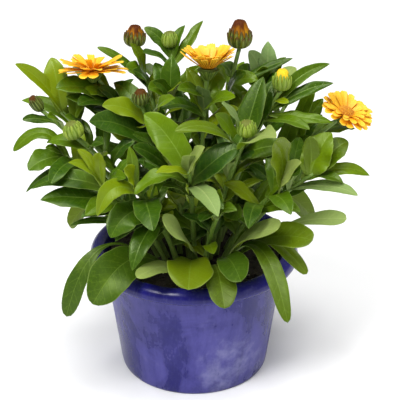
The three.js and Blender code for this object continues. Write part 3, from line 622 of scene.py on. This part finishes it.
def wrapped_bracts(profile, count, turn, height, spread, stand_off, thickness, seed, flare=0):
    """Narrow pointed bracts wrapped on a surface of revolution. A bract runs up the profile to
    its own height. Its half angle is what is left of the run to the power 0.55, times a
    factor that grows with the run. It stands off the surface a little more towards its tip,
    and flare bends the tip outwards as a cube."""
    chance = chances(np.random.default_rng(seed), count)
    s = np.linspace(0, 1, BRACT_GRID[0]).reshape(1, -1, 1)
    v = np.linspace(-1, 1, BRACT_GRID[1]).reshape(1, 1, -1)

    run = np.linspace(0, 1, len(profile))
    bearing = (np.arange(count).reshape(-1, 1, 1) + turn) * 2 * math.pi / count
    end = height * chance(0.9, 1.06)
    place = np.clip(s * end, 0, 1)
    radius = np.interp(place, run, profile[:, 0])
    level = np.interp(place, run, profile[:, 1])
    narrow = np.clip(1 - s, 0, 1) ** 0.55 * (0.75 + 0.5 * s)
    width = spread * math.pi / count * narrow + 0.01
    widest = profile[:, 0].max()
    angle = bearing + v * width * np.clip(widest / np.maximum(radius, 1.2), 1, 2.2)
    off = stand_off * (0.6 + s) + 0.25 * (1 - v**2) + flare * s**3
    rib = 0.18 * np.exp(-((v / 0.25) ** 2))

    def shell(offset):
        r = radius + off + offset
        full_level = level + 0 * angle
        return np.stack([r * np.cos(angle), r * np.sin(angle), full_level], axis=-1)

    full = np.ones(angle.shape)
    marks = dict(edge=np.abs(v) * full, share=s * full, chance=chance(0, 1) * full)
    uv = np.stack([s * full * 0.2, v * full * 0.02], axis=-1)
    return sheet(shell((thickness + rib) * full), shell(-thickness * full), uv, marks)


def disc_florets(radius, height, count, seed):
    """Small closed tubes set on a dome by the golden angle, with the radius as the square root
    of the number, each leaning outwards as the dome does."""
    chance = chances(np.random.default_rng(seed), count)
    k = np.arange(count).reshape(-1, 1, 1)
    share = np.sqrt((k + 0.5) / count)
    bearing = GOLDEN_ANGLE * k
    out = radius * share
    level = 1.0 + height * (1 - share**2.2)
    s = np.array([0, 0.5, 0.85, 1.0]).reshape(1, -1, 1)
    angle = np.linspace(0, 2 * math.pi, 6, endpoint=False).reshape(1, 1, -1)
    size = 0.62 * np.array([0.7, 0.9, 1.1, 0.6]).reshape(1, -1, 1) * chance(0.8, 1.2)
    tall = chance(1.8, 2.9)
    lean = 0.5 * share
    r = out + tall * s * lean + size * np.cos(angle)
    sideways = size * np.sin(angle)
    z = level + tall * s * np.cos(lean) - size * np.cos(angle) * lean
    x = r * np.cos(bearing) - sideways * np.sin(bearing)
    y = r * np.sin(bearing) + sideways * np.cos(bearing)
    rings = np.stack([x, y, z + 0 * x], axis=-1)
    full = np.ones(x.shape)
    marks = dict(share=s * full, chance=chance(0, 1) * full, edge=0.5 * full,
                 underside=0 * full)
    uv = np.stack([s * full, angle / 6.3 * full], axis=-1)
    return tube(rings, rings[:, 0].mean(axis=1), rings[:, -1].mean(axis=1), uv, marks)


# ------------------------------------------------------------------ lumpy ground


def hashed(i, j, seed):
    """A fixed pseudo-random number in 0..1 for each pair of whole numbers."""
    value = np.sin(i * 127.1 + j * 311.7 + seed * 74.7) * 43758.5453
    return value - np.floor(value)


def lumps(x, y, size, seed):
    """Value noise in 0..1: hashed numbers on a square grid of the given size, blended by a
    smooth step."""
    gx, gy = x / size, y / size
    i, j = np.floor(gx), np.floor(gy)
    fx, fy = gx - i, gy - j
    fx, fy = fx * fx * (3 - 2 * fx), fy * fy * (3 - 2 * fy)
    low = hashed(i, j, seed) * (1 - fx) + hashed(i + 1, j, seed) * fx
    high = hashed(i, j + 1, seed) * (1 - fx) + hashed(i + 1, j + 1, seed) * fx
    return low * (1 - fy) + high * fy


def soil_level(x, y):
    """The compost's height at x, y: a low dome with lumps of three sizes on it."""
    r = np.hypot(x, y) / SOIL["radius"]
    dome = SOIL["crown"] - (SOIL["crown"] - SOIL["edge"]) * r**2
    rough = 2.6 * lumps(x, y, 14, 1) + 1.7 * lumps(x, y, 5, 2) + 1.0 * lumps(x, y, 2.2, 3)
    return dome - 2.8 + rough


def compost_bed():
    """The top of the compost as a polar grid at its level, closed by a skirt and a flat
    underside."""
    share = np.concatenate([[0.012], np.linspace(0.03, 1, SOIL_GRID[0])])
    angle = np.linspace(0, 2 * math.pi, SOIL_GRID[1], endpoint=False)
    radius = share[:, None] * SOIL["radius"]
    x, y = radius * np.cos(angle), radius * np.sin(angle)
    ring = np.stack([x, y, soil_level(x, y)], axis=-1)
    taper = SOIL["foot"] / SOIL["radius"]
    skirt = ring[-1:] * np.array([taper, taper, 0]) + np.array([0, 0, SOIL["bottom"]])
    core = ring[:1] * np.array([1, 1, 0]) + np.array([0, 0, SOIL["bottom"]])
    rings = np.concatenate([ring, skirt, core])
    full = np.ones(rings.shape[:2])
    top = np.array([[0, 0, float(soil_level(np.array(0.0), np.array(0.0)))]])
    uv = np.stack([full * 0, full * 0], axis=-1)
    marks = dict(share=full[None], chance=full[None] * 0.5)
    return tube(rings[None], top, np.array([[0, 0, SOIL["bottom"]]]), uv[None], marks)


def scattered_crumbs(count, small, large, reach, seed):
    """Small rough lumps lying on the compost: squashed balls of four rings whose points are
    pushed in and out at random."""
    rng = np.random.default_rng(seed)
    chance = chances(rng, count)
    bearing = chance(0, 2 * math.pi)
    distance = SOIL["radius"] * np.sqrt(chance(0.05, reach))
    cx, cy = distance * np.cos(bearing), distance * np.sin(bearing)
    size = small + (large - small) * chance(0, 1) ** 3
    latitude = np.radians([-60, -20, 20, 60]).reshape(1, -1, 1)
    around = np.linspace(0, 2 * math.pi, 7, endpoint=False).reshape(1, 1, -1)
    bump = rng.uniform(0.65, 1.25, (count, 4, 7)) * size
    stretch = chance(0.8, 1.7)
    x = cx + bump * np.cos(latitude) * np.cos(around + bearing) * stretch
    y = cy + bump * np.cos(latitude) * np.sin(around + bearing)
    z = soil_level(cx, cy) + 0.3 * size + 0.75 * bump * np.sin(latitude)
    rings = np.stack([x, y, z], axis=-1)
    low, high = rings[:, 0].mean(axis=1), rings[:, -1].mean(axis=1)
    full = np.ones(x.shape)
    marks = dict(share=full * 0.5, chance=chance(0, 1) * full)
    return tube(rings, low, high, np.stack([full * 0, full * 0], axis=-1), marks)


# ------------------------------------------------------------------ finishes


class Finish:
    """A material whose node tree is built by short calls. Sockets given as inputs are linked,
    and plain values are set on the socket itself."""

    def __init__(self, name):
        self.material = bpy.data.materials.new(name)
        self.material.use_nodes = True
        self.tree = self.material.node_tree
        self.shader = self.tree.nodes["Principled BSDF"]
        self.place = self.node("ShaderNodeTexCoord").outputs["Object"]

    def node(self, kind, inputs=None, **settings):
        made = self.tree.nodes.new(kind)
        for key, value in settings.items():
            setattr(made, key, value)
        for key, value in (inputs or {}).items():
            self.give(made.inputs[key], value)
        return made

    def give(self, socket, value):
        if isinstance(value, bpy.types.NodeSocket):
            self.tree.links.new(value, socket)
        elif socket.type == "RGBA" and len(value) == 3:
            socket.default_value = (*value, 1)
        else:
            socket.default_value = value

    def set(self, **values):
        for key, value in values.items():
            self.give(self.shader.inputs[key.replace("_", " ")], value)

    def mark(self, name):
        return self.node("ShaderNodeAttribute", attribute_name=name).outputs["Fac"]

    def blade(self):
        """The UV map of a leaf or ray: how far along and across it, in tenths of a metre."""
        return self.node("ShaderNodeUVMap", uv_map="along").outputs[0]

    def noise(self, scale, detail=4, roughness=0.6, place=None, distortion=0):
        inputs = {"Vector": place or self.place, "Scale": scale, "Detail": detail,
                  "Roughness": roughness, "Distortion": distortion}
        return self.node("ShaderNodeTexNoise", inputs).outputs["Fac"]

    def cells(self, scale):
        inputs = {"Vector": self.place, "Scale": scale}
        return self.node("ShaderNodeTexVoronoi", inputs).outputs["Distance"]

    def stretched(self, scale, place=None):
        inputs = {"Vector": place or self.place, "Scale": scale}
        return self.node("ShaderNodeMapping", inputs).outputs["Vector"]

    def sums(self, operation, a, b=0.0, c=0.0):
        inputs = {0: a, 1: b, 2: c}
        return self.node("ShaderNodeMath", inputs, operation=operation).outputs[0]

    def times(self, a, b):
        return self.sums("MULTIPLY", a, b)

    def between(self, value, low, high, to_low=0.0, to_high=1.0):
        inputs = {"Value": value, "From Min": low, "From Max": high,
                  "To Min": to_low, "To Max": to_high}
        made = self.node("ShaderNodeMapRange", inputs, interpolation_type="SMOOTHSTEP")
        return made.outputs["Result"]

    def mix(self, share, a, b):
        made = self.node("ShaderNodeMix", data_type="RGBA")
        self.give(made.inputs[0], share)
        self.give(made.inputs[6], a)
        self.give(made.inputs[7], b)
        return made.outputs[2]

    def coats(self, colour, *layers):
        """The colour under layers of (share, colour), each laid over the ones before it."""
        for share, layer in layers:
            colour = self.mix(share, colour, layer)
        return colour

    def ramp(self, value, *stops):
        made = self.node("ShaderNodeValToRGB", {"Fac": value})
        elements = made.color_ramp.elements
        while len(elements) < len(stops):
            elements.new(0.5)
        for element, (position, colour) in zip(elements, stops):
            element.position = position
            element.color = (*colour, 1)
        return made.outputs["Color"]

    def bump(self, height, strength, distance):
        inputs = {"Height": height, "Strength": strength, "Distance": distance}
        normal = self.node("ShaderNodeBump", inputs).outputs["Normal"]
        self.give(self.shader.inputs["Normal"], normal)


def leaf_finish(name, dull=0.0, olive=0.0):
    """Leaf skin: greens that drift over the blade, side veins that slant towards the tip, a pale
    midrib and margin, a grey-green underside and a soft waxy gloss. Each leaf's tint mark turns
    it towards a paler yellow-green or a darker blue-green, partly its own hue and partly painted
    light and shade."""
    f = Finish(name)
    along, across = f.node("ShaderNodeSeparateXYZ", {0: f.blade()}).outputs[:2]
    off_rib = f.sums("ABSOLUTE", across)
    tint_and_painted_light, edge, share = f.mark("tint_and_painted_light"), f.mark("edge"), f.mark("share")
    chance, underside = f.mark("chance"), f.mark("underside")
    drift = f.noise(38, 3, 0.5)
    blend = f.sums("MULTIPLY_ADD", chance, 0.55, f.times(drift, 0.5))
    slant = f.sums("SUBTRACT", along, f.times(off_rib, 0.75))
    stripe = f.sums("PINGPONG", f.sums("ADD", slant, f.times(drift, 0.02)), 0.034)
    vein = f.between(stripe, 0.006, 0.0)
    vein = f.times(vein, f.between(edge, 0.95, 0.5))
    rib_width = f.between(share, 0.0, 1.0, 0.012, 0.003)
    rib = f.between(f.sums("DIVIDE", off_rib, rib_width), 1.0, 0.2)
    mottle = f.noise(420, 2, 0.5)
    green = f.ramp(blend, (0.2, (0.012, 0.042, 0.0006)), (0.5, (0.038, 0.088, 0.0010)),
                   (0.85, (0.100, 0.175, 0.0015)))
    top = f.coats(
        green,
        (olive, (0.066, 0.088, 0.002)),
        (f.between(tint_and_painted_light, 0, 1), (0.180, 0.240, 0.002)),  # yellow-green leaves, partly painted light on lit leaves
        (f.between(tint_and_painted_light, 0, -1.3), (0.016, 0.056, 0.004)),  # blue-green leaves, partly painted shade on shaded leaves
        (f.times(vein, 0.10), (0.20, 0.32, 0.03)),
        (f.times(rib, 0.28), (0.22, 0.34, 0.05)),
        (f.between(mottle, 0.45, 0.75, 0.0, 0.20), (0.12, 0.21, 0.01)),
        (f.between(f.noise(17, 2), 0.56, 0.75, 0.0, 0.35), (0.17, 0.27, 0.02)),  # pale patches
        (f.between(share, 0.30, 0.0, 0.0, 0.35), (0.20, 0.29, 0.05)),  # pale foot
        (f.between(edge, 0.93, 1.0, 0.0, 0.30), (0.30, 0.38, 0.08)),  # margin
    )
    below = f.coats(
        f.mix(f.between(tint_and_painted_light, -1, 1), (0.15, 0.24, 0.075), (0.26, 0.32, 0.07)),
        (f.times(rib, 0.5), (0.34, 0.42, 0.15)),
        (f.times(vein, 0.2), (0.28, 0.35, 0.12)),
        (f.between(mottle, 0.4, 0.7, 0.0, 0.25), (0.14, 0.20, 0.06)),
    )
    colour = f.mix(underside, top, below)
    rough = f.between(f.noise(90, 3), 0.3, 0.7, 0.27 + dull, 0.44 + dull)
    f.set(Base_Color=colour, Specular_IOR_Level=0.30, Specular_Tint=(0.85, 1.0, 0.55))
    f.set(Roughness=f.sums("ADD", rough, f.times(underside, 0.16)))
    f.set(Subsurface_Weight=0.06, Subsurface_Scale=0.002, Subsurface_Radius=(0.6, 1.0, 0.2))
    relief = f.sums("MULTIPLY_ADD", vein, -0.5, f.times(f.noise(900, 2), 0.35))
    f.bump(relief, 0.45, 0.0004)
    return f.material


def stem_finish():
    """Stem skin: green with fine lengthwise streaks, paler towards the foot, and darker on some
    of the stems."""
    f = Finish("stem_skin")
    share, chance = f.mark("share"), f.mark("chance")
    streak = f.noise(900, 3, 0.6, f.stretched((1, 1, 0.06)))
    green = f.ramp(streak, (0.3, (0.085, 0.165, 0.020)), (0.6, (0.16, 0.26, 0.035)),
                   (0.85, (0.27, 0.36, 0.08)))
    green = f.mix(f.between(share, 0.0, 0.35, 0.45, 0.0), green, (0.24, 0.30, 0.09))
    green = f.mix(f.between(chance, 0.5, 1.0, 0.0, 0.4), green, (0.07, 0.13, 0.015))
    f.set(Base_Color=green, Roughness=0.52, Subsurface_Weight=0.08, Subsurface_Scale=0.002)
    f.bump(streak, 0.35, 0.0005)
    return f.material


def ray_finish(name, striped):
    """Ray florets: clear yellow at the tip and orange at the root, with fine lengthwise lines.
    The underside carries red-brown stripes, strong where striped is near 1."""
    f = Finish(name)
    share, chance, underside = f.mark("share"), f.mark("chance"), f.mark("underside")
    edge = f.mark("edge")
    run = f.sums("MULTIPLY_ADD", f.noise(120, 2), 0.25, f.sums("SUBTRACT", share, 0.12))
    yellow = f.ramp(run, (0.0, (0.72, 0.240, 0.004)), (0.28, (0.86, 0.370, 0.006)),
                    (0.62, (0.90, 0.470, 0.012)), (1.0, (0.93, 0.580, 0.040)))
    yellow = f.mix(f.times(chance, 0.25), yellow, (0.88, 0.40, 0.008))
    lines = f.noise(1.0, 2, 0.5, f.stretched((3, 130, 1), f.blade()))
    yellow = f.mix(f.between(lines, 0.5, 0.75, 0.0, 0.45), yellow, (0.72, 0.26, 0.005))
    stripe = f.between(f.sums("PINGPONG", edge, 0.33), 0.10, 0.24)
    stripe = f.times(stripe, f.between(share, 1.0, 0.45))
    stripe = f.times(stripe, f.between(lines, 0.35, 0.6, 0.55, 1.0))
    back = f.mix(0.25, yellow, (0.78, 0.35, 0.004))
    back = f.mix(f.times(stripe, striped), back, (0.30, 0.065, 0.003))
    f.set(Base_Color=f.mix(underside, yellow, back), Roughness=0.50)
    f.set(Subsurface_Weight=0.20, Subsurface_Scale=0.002, Subsurface_Radius=(1.0, 0.6, 0.1))
    f.bump(lines, 0.30, 0.0004)
    return f.material


def bract_finish(name, low, high, ripe):
    """Bud and cup bracts: greens from low to high with a paler rib, and maroon at the tips.
    ripe, from 0 to 1, is how far down the maroon reaches."""
    f = Finish(name)
    share, edge, chance = f.mark("share"), f.mark("edge"), f.mark("chance")
    green = f.mix(chance, low, high)
    green = f.mix(f.between(edge, 0.55, 0.0, 0.0, 0.55), green, (0.26, 0.33, 0.07))
    start = 1.08 - 0.24 * ripe
    tip = f.between(f.sums("MULTIPLY_ADD", f.noise(300, 2), 0.2, share), start, start + 0.22)
    green = f.mix(f.times(tip, 0.9), green, (0.080, 0.030, 0.002))
    f.set(Base_Color=green, Roughness=0.5, Specular_IOR_Level=0.3)
    f.bump(f.noise(1200, 2), 0.25, 0.0003)
    return f.material


def furled_finish(name, low, middle, high):
    """Furled petals in a bud: three colours from foot to tip, with lengthwise streaks."""
    f = Finish(name)
    share, chance, edge = f.mark("share"), f.mark("chance"), f.mark("edge")
    streak = f.noise(700, 3, 0.6, f.stretched((1, 1, 0.12)))
    run = f.sums("MULTIPLY_ADD", streak, 0.3, f.sums("SUBTRACT", share, 0.15))
    run = f.sums("MULTIPLY_ADD", chance, 0.25, f.sums("SUBTRACT", run, 0.12))
    colour = f.ramp(run, (0.30, low), (0.55, middle), (0.80, high))
    colour = f.mix(f.between(edge, 0.5, 1.0, 0.0, 0.75), colour, high)
    f.set(Base_Color=colour, Roughness=0.6, Specular_IOR_Level=0.12)
    f.set(Subsurface_Weight=0.05, Subsurface_Scale=0.001, Subsurface_Radius=(1.0, 0.4, 0.1))
    f.bump(streak, 0.35, 0.0005)
    return f.material


def disc_finish():
    """Disc florets: amber tubes with darker mouths."""
    f = Finish("disc_amber")
    share, chance = f.mark("share"), f.mark("chance")
    amber = f.mix(chance, (0.62, 0.24, 0.008), (0.84, 0.44, 0.015))
    amber = f.mix(f.between(share, 0.75, 1.0, 0.0, 0.45), amber, (0.30, 0.085, 0.006))
    f.set(Base_Color=amber, Roughness=0.6)
    f.bump(f.noise(1500, 2), 0.3, 0.0003)
    return f.material


def pot_finish():
    """Blue-violet plastic: saturated on the rim, hazed and scuffed down the wall, with vertical
    wipe marks, darker streaks, pale mineral bloom and a few specks of compost."""
    f = Finish("pot_plastic")
    height = f.node("ShaderNodeSeparateXYZ", {0: f.place}).outputs[2]
    cloud = f.noise(16, 5, 0.62, distortion=0.6)
    wipe = f.noise(60, 4, 0.6, f.stretched((1, 1, 0.16)))
    fine = f.noise(420, 4, 0.6, f.stretched((1, 1, 0.35)))
    haze = f.sums("MULTIPLY_ADD", cloud, 0.62, f.times(wipe, 0.38))
    haze = f.between(haze, 0.42, 0.60)
    wall = f.between(height, 0.118, 0.106)
    haze = f.times(haze, f.sums("MULTIPLY_ADD", wall, 0.85, 0.08))
    streak = f.noise(18, 4, 0.6, f.stretched((1, 1, 0.16)), distortion=0.5)
    dim = f.times(f.between(streak, 0.50, 0.60), f.times(wall, 0.8))
    bloom = f.times(f.between(f.noise(9, 6, 0.7), 0.53, 0.70), f.times(wall, 0.60))
    specks = f.times(f.between(f.cells(115), 0.055, 0.03), f.between(f.noise(30, 1), 0.52, 0.6))
    colour = f.coats(
        f.mix(f.between(cloud, 0.3, 0.7), (0.005, 0.004, 0.105), (0.011, 0.009, 0.160)),
        (haze, (0.064, 0.058, 0.265)),
        (f.times(f.between(fine, 0.50, 0.72), 0.12), (0.13, 0.13, 0.36)),
        (dim, (0.006, 0.005, 0.115)),
        (bloom, (0.24, 0.24, 0.44)),
        (f.times(specks, 0.85), (0.018, 0.014, 0.022)),
    )
    f.set(Base_Color=colour, IOR=1.46, Specular_IOR_Level=0.35)
    f.set(Roughness=f.between(haze, 0.0, 1.0, 0.24, 0.46))
    relief = f.sums("MULTIPLY_ADD", fine, 0.3, f.times(cloud, 0.8))
    f.bump(relief, 0.25, 0.0008)
    return f.material


def compost_finish(name, dark, light):
    """Damp compost: near-black crumbs with brown fibre and fine grain."""
    f = Finish(name)
    grain = f.noise(700, 6, 0.7)
    colour = f.mix(f.between(grain, 0.42, 0.72), dark, light)
    colour = f.mix(f.times(f.mark("chance"), 0.35), colour, light)
    f.set(Base_Color=colour, Roughness=0.9)
    f.bump(grain, 0.8, 0.0012)
    return f.material


# ------------------------------------------------------------------ the pieces


def build_pot():
    """The pot is a closed profile carried round the axis: recessed underside with its drain
    hole, tapered wall, rolled rim and inner wall."""
    p = POT
    shoulder = p["height"] - p["rim_depth"]
    rim, top = p["rim"], p["height"]
    corners = [
        (p["drain"], p["recess"]), (p["foot"] - p["ring"] - 1, p["recess"]),
        (p["foot"] - p["ring"], 0), (p["foot"] - 2.5, 0), (p["foot"] - 0.7, 0.7),
        (p["foot"], 2.5), (p["foot"] + 0.6, 6),
        (p["shoulder"] - 1.0, shoulder - 8), (p["shoulder"] - 0.2, shoulder - 1.4),
        (p["shoulder"] + 1.2, shoulder), (rim - 3.2, shoulder + 0.2), (rim - 1.1, shoulder + 0.9),
        (rim - 0.1, shoulder + 2.6), (rim, shoulder + 4.6), (rim - 0.5, shoulder + 7.0),
        (rim - 1.5, shoulder + 9.4), (rim - 3.4, top - 1.9), (rim - 5.6, top - 0.6),
        (rim - 8.0, top), (rim - 10.4, top - 0.4), (rim - 12.6, top - 1.8),
        (rim - 14.4, top - 4.2), (p["shoulder"] - p["wall"] + 0.5, top - 8),
        (p["foot"] - p["wall"], p["floor"] + p["recess"]), (p["drain"], p["floor"] + p["recess"]),
    ]
    corners = np.array(corners, float)
    pieces = []
    for a, b in zip(corners, np.roll(corners, -1, axis=0)):
        steps = max(1, int(np.linalg.norm(b - a) / 4))
        pieces.append(a + (b - a) * np.linspace(0, 1, steps, endpoint=False)[:, None])
    profile = np.concatenate(pieces)
    angle = np.linspace(0, 2 * math.pi, POT_SIDES, endpoint=False)
    radius, height = profile[:, :1], profile[:, 1:]
    uneven = 0.25 * np.sin(2 * angle + 0.4) + 0.12 * np.sin(5 * angle + height / 30)
    radius = radius + uneven * np.clip(height / 40, 0, 1)
    full = np.ones((len(profile), len(angle)))
    ring = np.stack([radius * np.cos(angle), radius * np.sin(angle), height * full], axis=-1)
    rows, around = full.shape
    index = np.arange(rows * around).reshape(rows, around)
    onward, above = np.roll(index, -1, axis=1), np.roll(index, -1, axis=0)
    corner = np.roll(onward, -1, axis=0)
    quads = np.stack([index, onward, corner, above], axis=-1).reshape(-1, 4)
    uv = np.stack([height * full / 100, angle / 6.2832 * full], axis=-1).reshape(-1, 2)
    shape = dict(points=ring.reshape(-1, 3), quads=quads, tris=np.zeros((0, 3), int), uv=uv,
                 marks=dict(share=full.reshape(-1)))
    make_piece("blue_plastic_pot", shape, pot_finish(), "pot", "pot")


def build_compost():
    """The compost bed with loose crumbs and a few pale grains on it."""
    dark = compost_finish("damp_compost", (0.010, 0.007, 0.005), (0.045, 0.030, 0.018))
    pale = compost_finish("perlite_grain", (0.42, 0.38, 0.30), (0.62, 0.58, 0.50))
    make_piece("compost_bed", compost_bed(), dark, "compost", "compost")
    make_piece("compost_crumbs", scattered_crumbs(900, 0.5, 2.4, 0.97, 11), dark, "compost")
    make_piece("pale_grains", scattered_crumbs(34, 0.4, 1.0, 0.95, 12), pale, "compost")


def build_shoot(kind, name, shoot, number):
    """One shoot's stem and its leaves. They stand for the shoot's CAD node."""
    node = f"shoot_{name}" if kind == "leafy" else f"{kind}_{name}_shoot"
    stem = stem_tubes(shoot, 100 + number)
    make_piece(f"stem_of_{kind}_{name}", stem, STEM_SKIN, "foliage", node)
    leaves = leaf_blades(leaf_rows(shoot), 200 + number)
    make_piece(f"leaves_of_{kind}_{name}", leaves, LEAF_SKIN, "foliage", node)


def build_flower(name, flower, number):
    """A flower head: cup with bracts, three whorls of rays and the disc, set on its stem."""
    def onto(shape):
        return placed(shape, flower["top"], flower["axis"])

    bracts = [
        wrapped_bracts(CUP[:5], 16, 0.0, 1.0, 1.25, 0.25, 0.25, number, flare=0.8),
        wrapped_bracts(CUP[:5], 16, 0.5, 1.0, 1.25, 0.55, 0.25, number + 1, flare=1.4),
    ]
    make_piece(f"cup_of_flower_{name}", onto(merged([turned(CUP, 0.5), *bracts])), CUP_SKIN,
               "bud", f"flower_{name}_shoot")
    low, high, flatten = flower["lifts"]
    radius = flower["radius"]
    whorls = [
        ray_florets(radius, low, low + 16, flatten, 17, 5.5, 300 + number),
        ray_florets(radius * 0.95, high - 20, high + 2, flatten, 14, 5.0, 400 + number),
        ray_florets(radius * 0.74, high - 8, high + 16, flatten, 11, 4.6, 450 + number),
    ]
    for level, whorl in enumerate(whorls):
        whorl["points"] = whorl["points"] + np.array([0, 0, WHORL_STEP * level])
    make_piece(f"rays_of_flower_{name}", onto(merged(whorls)), RAY_SKINS[name], "petal",
               f"flower_{name}_rays")
    florets = disc_florets(7.2, 3.6, 150, 500 + number)
    make_piece(f"disc_of_flower_{name}", onto(merged([turned(DISC, 0.5, 32), florets])),
               DISC_SKIN, "disc", f"flower_{name}_disc")


def build_bud(name, bud, number):
    """A bud: furled petals wrapped round a core, held by two rows of bracts, which are shorter
    on a riper bud."""
    def onto(shape):
        return placed(shape, bud["top"], bud["axis"])

    egg = EGG * np.array([bud["radius"], bud["length"]]) + np.array([0, BUD_LIFT])
    inner = egg * np.array([0.86, 0.97])
    ripe = bud["open"]
    furled = [
        turned(inner, 0.8, 32),
        wrapped_bracts(inner, 12, 0.2, 1.0, 1.5, 0.15, 0.2, 600 + number),
        wrapped_bracts(inner, 11, 0.7, 0.97, 1.5, 0.45, 0.2, 610 + number),
    ]
    bracts = [
        turned(BUD_CAP, 0.5),
        wrapped_bracts(egg, 13, 0.0, 0.80 - 0.22 * ripe, 1.35, 0.0, 0.3, 620 + number, 0.5),
        wrapped_bracts(egg, 12, 0.5, 0.70 - 0.26 * ripe, 1.35, 0.45, 0.3, 630 + number, 0.9),
    ]
    furl, bract = BUD_SKINS[name]
    for part, shapes, finish in (("furled_petals", furled, furl), ("bracts", bracts, bract)):
        make_piece(f"{part}_of_bud_{name}", onto(merged(shapes)), finish, "bud",
                   f"bud_{name}_head")


def build_basal_leaf(name, row, number):
    """One long-stalked leaf from the crown of the plant."""
    x, y, z, tip_x, tip_y, tip_z, width, arch, stalk, tint_and_painted_light, over = row
    values = dict(base=(x, y, z - STEM["root"] / 2), tip=(tip_x, tip_y, tip_z), width=width,
                  arch=arch, stalk=stalk, tint_and_painted_light=tint_and_painted_light, over=over, **BASAL_LEAF)
    rows = {key: [value] for key, value in values.items()}
    blade = leaf_blades(rows, 700 + number)
    make_piece(f"blade_{name}", blade, BASAL_SKIN, "basal_leaf", f"basal_leaf_{name}")


LEAF_SKIN = leaf_finish("leaf_skin")
BASAL_SKIN = leaf_finish("basal_leaf_skin", dull=0.06, olive=0.55)
STEM_SKIN = stem_finish()
CUP_SKIN = bract_finish("cup_green", (0.05, 0.10, 0.008), (0.10, 0.16, 0.012), 0.3)
DISC_SKIN = disc_finish()
RAY_SKINS = {
    name: ray_finish(f"ray_gold_{name}", striped)
    for name, striped in (("left", 0.12), ("centre", 0.9), ("right", 0.1))
}
GREEN, AMBER, GOLD, RUSSET = (
    furled_finish(f"furl_{name}", *colours)
    for name, *colours in (
        ("green", (0.10, 0.16, 0.02), (0.20, 0.27, 0.05), (0.14, 0.16, 0.03)),
        ("amber", (0.56, 0.42, 0.015), (0.40, 0.16, 0.003), (0.080, 0.018, 0.001)),
        ("gold", (0.30, 0.34, 0.03), (0.70, 0.52, 0.03), (0.80, 0.52, 0.02)),
        ("russet", (0.10, 0.12, 0.01), (0.13, 0.08, 0.006), (0.08, 0.03, 0.004)),
    )
)
FRESH = bract_finish("bract_fresh", (0.12, 0.20, 0.012), (0.24, 0.33, 0.030), 0.0)
RIPE = bract_finish("bract_ripe", (0.040, 0.060, 0.003), (0.13, 0.145, 0.006), 1.0)
DUSKY = bract_finish("bract_dusky", (0.028, 0.050, 0.004), (0.075, 0.100, 0.008), 0.5)
BUD_SKINS = dict(  # furled petals, bracts
    tall=(AMBER, RIPE), back_left=(AMBER, RIPE), back=(GREEN, FRESH), right=(GOLD, FRESH),
    round=(GREEN, FRESH), left=(GREEN, FRESH), middle=(RUSSET, DUSKY), withered=(RUSSET, DUSKY),
)

build_pot()
build_compost()
for number, (name, row) in enumerate(BASAL_LEAVES.items()):
    build_basal_leaf(name, row, number)
number = 0
for kind, group in (("flower", FLOWERS), ("bud", BUDS), ("leafy", SHOOTS)):
    for name, shoot in group.items():
        number += 1
        build_shoot(kind, name, shoot, number)
        if kind == "flower":
            build_flower(name, shoot, number)
        if kind == "bud":
            build_bud(name, shoot, number)

# ------------------------------------------------------------------ camera, light and floor


def aim(thing, place, target):
    """Puts a camera or lamp at place, looking at target."""
    thing.location = place
    thing.rotation_euler = (Vector(target) - Vector(place)).to_track_quat("-Z", "Y").to_euler()
    bpy.context.scene.collection.objects.link(thing)


def area_lamp(name, place, target, size, power):
    """A square soft lamp."""
    lamp = bpy.data.lights.new(name, "AREA")
    lamp.size = size
    lamp.energy = power
    aim(bpy.data.objects.new(name, lamp), place, target)


CAMERA = dict(place=(0, -0.9, 0.6), target=(0.0057, 0, 0.171))
LENS, SENSOR = 94.9, 36  # millimetres

scene = bpy.context.scene
view = bpy.data.cameras.new("camera")
view.lens = LENS
view.sensor_width = SENSOR
view.clip_start = 0.05
camera = bpy.data.objects.new("camera", view)
aim(camera, CAMERA["place"], CAMERA["target"])
scene.camera = camera

area_lamp("window", (-0.9, -1.1, 1.9), (0, 0, 0.18), 0.8, 40)
area_lamp("fill", (1.2, -1.2, 0.6), (0, 0, 0.15), 1.0, 4)
sun = bpy.data.lights.new("overcast", "SUN")
sun.energy = 2.4
sun.angle = math.radians(35)
aim(bpy.data.objects.new("overcast", sun), (0.2, -0.3, 2), (0, 0, 0))

world = bpy.data.worlds.new("studio")
scene.world = world
world.use_nodes = True
background = world.node_tree.nodes["Background"]
background.inputs["Color"].default_value = (1, 1, 1, 1)
background.inputs["Strength"].default_value = 0.3
scene.view_settings.view_transform = "Standard"

bpy.ops.mesh.primitive_plane_add(size=14, location=(0, 0, 0))
floor = bpy.context.object
floor.name = "studio_floor"
paper = bpy.data.materials.new("white_paper")
paper.use_nodes = True
paper_shader = paper.node_tree.nodes["Principled BSDF"]
paper_shader.inputs["Base Color"].default_value = (0.92, 0.92, 0.92, 1)
paper_shader.inputs["Roughness"].default_value = 0.9
floor.data.materials.append(paper)
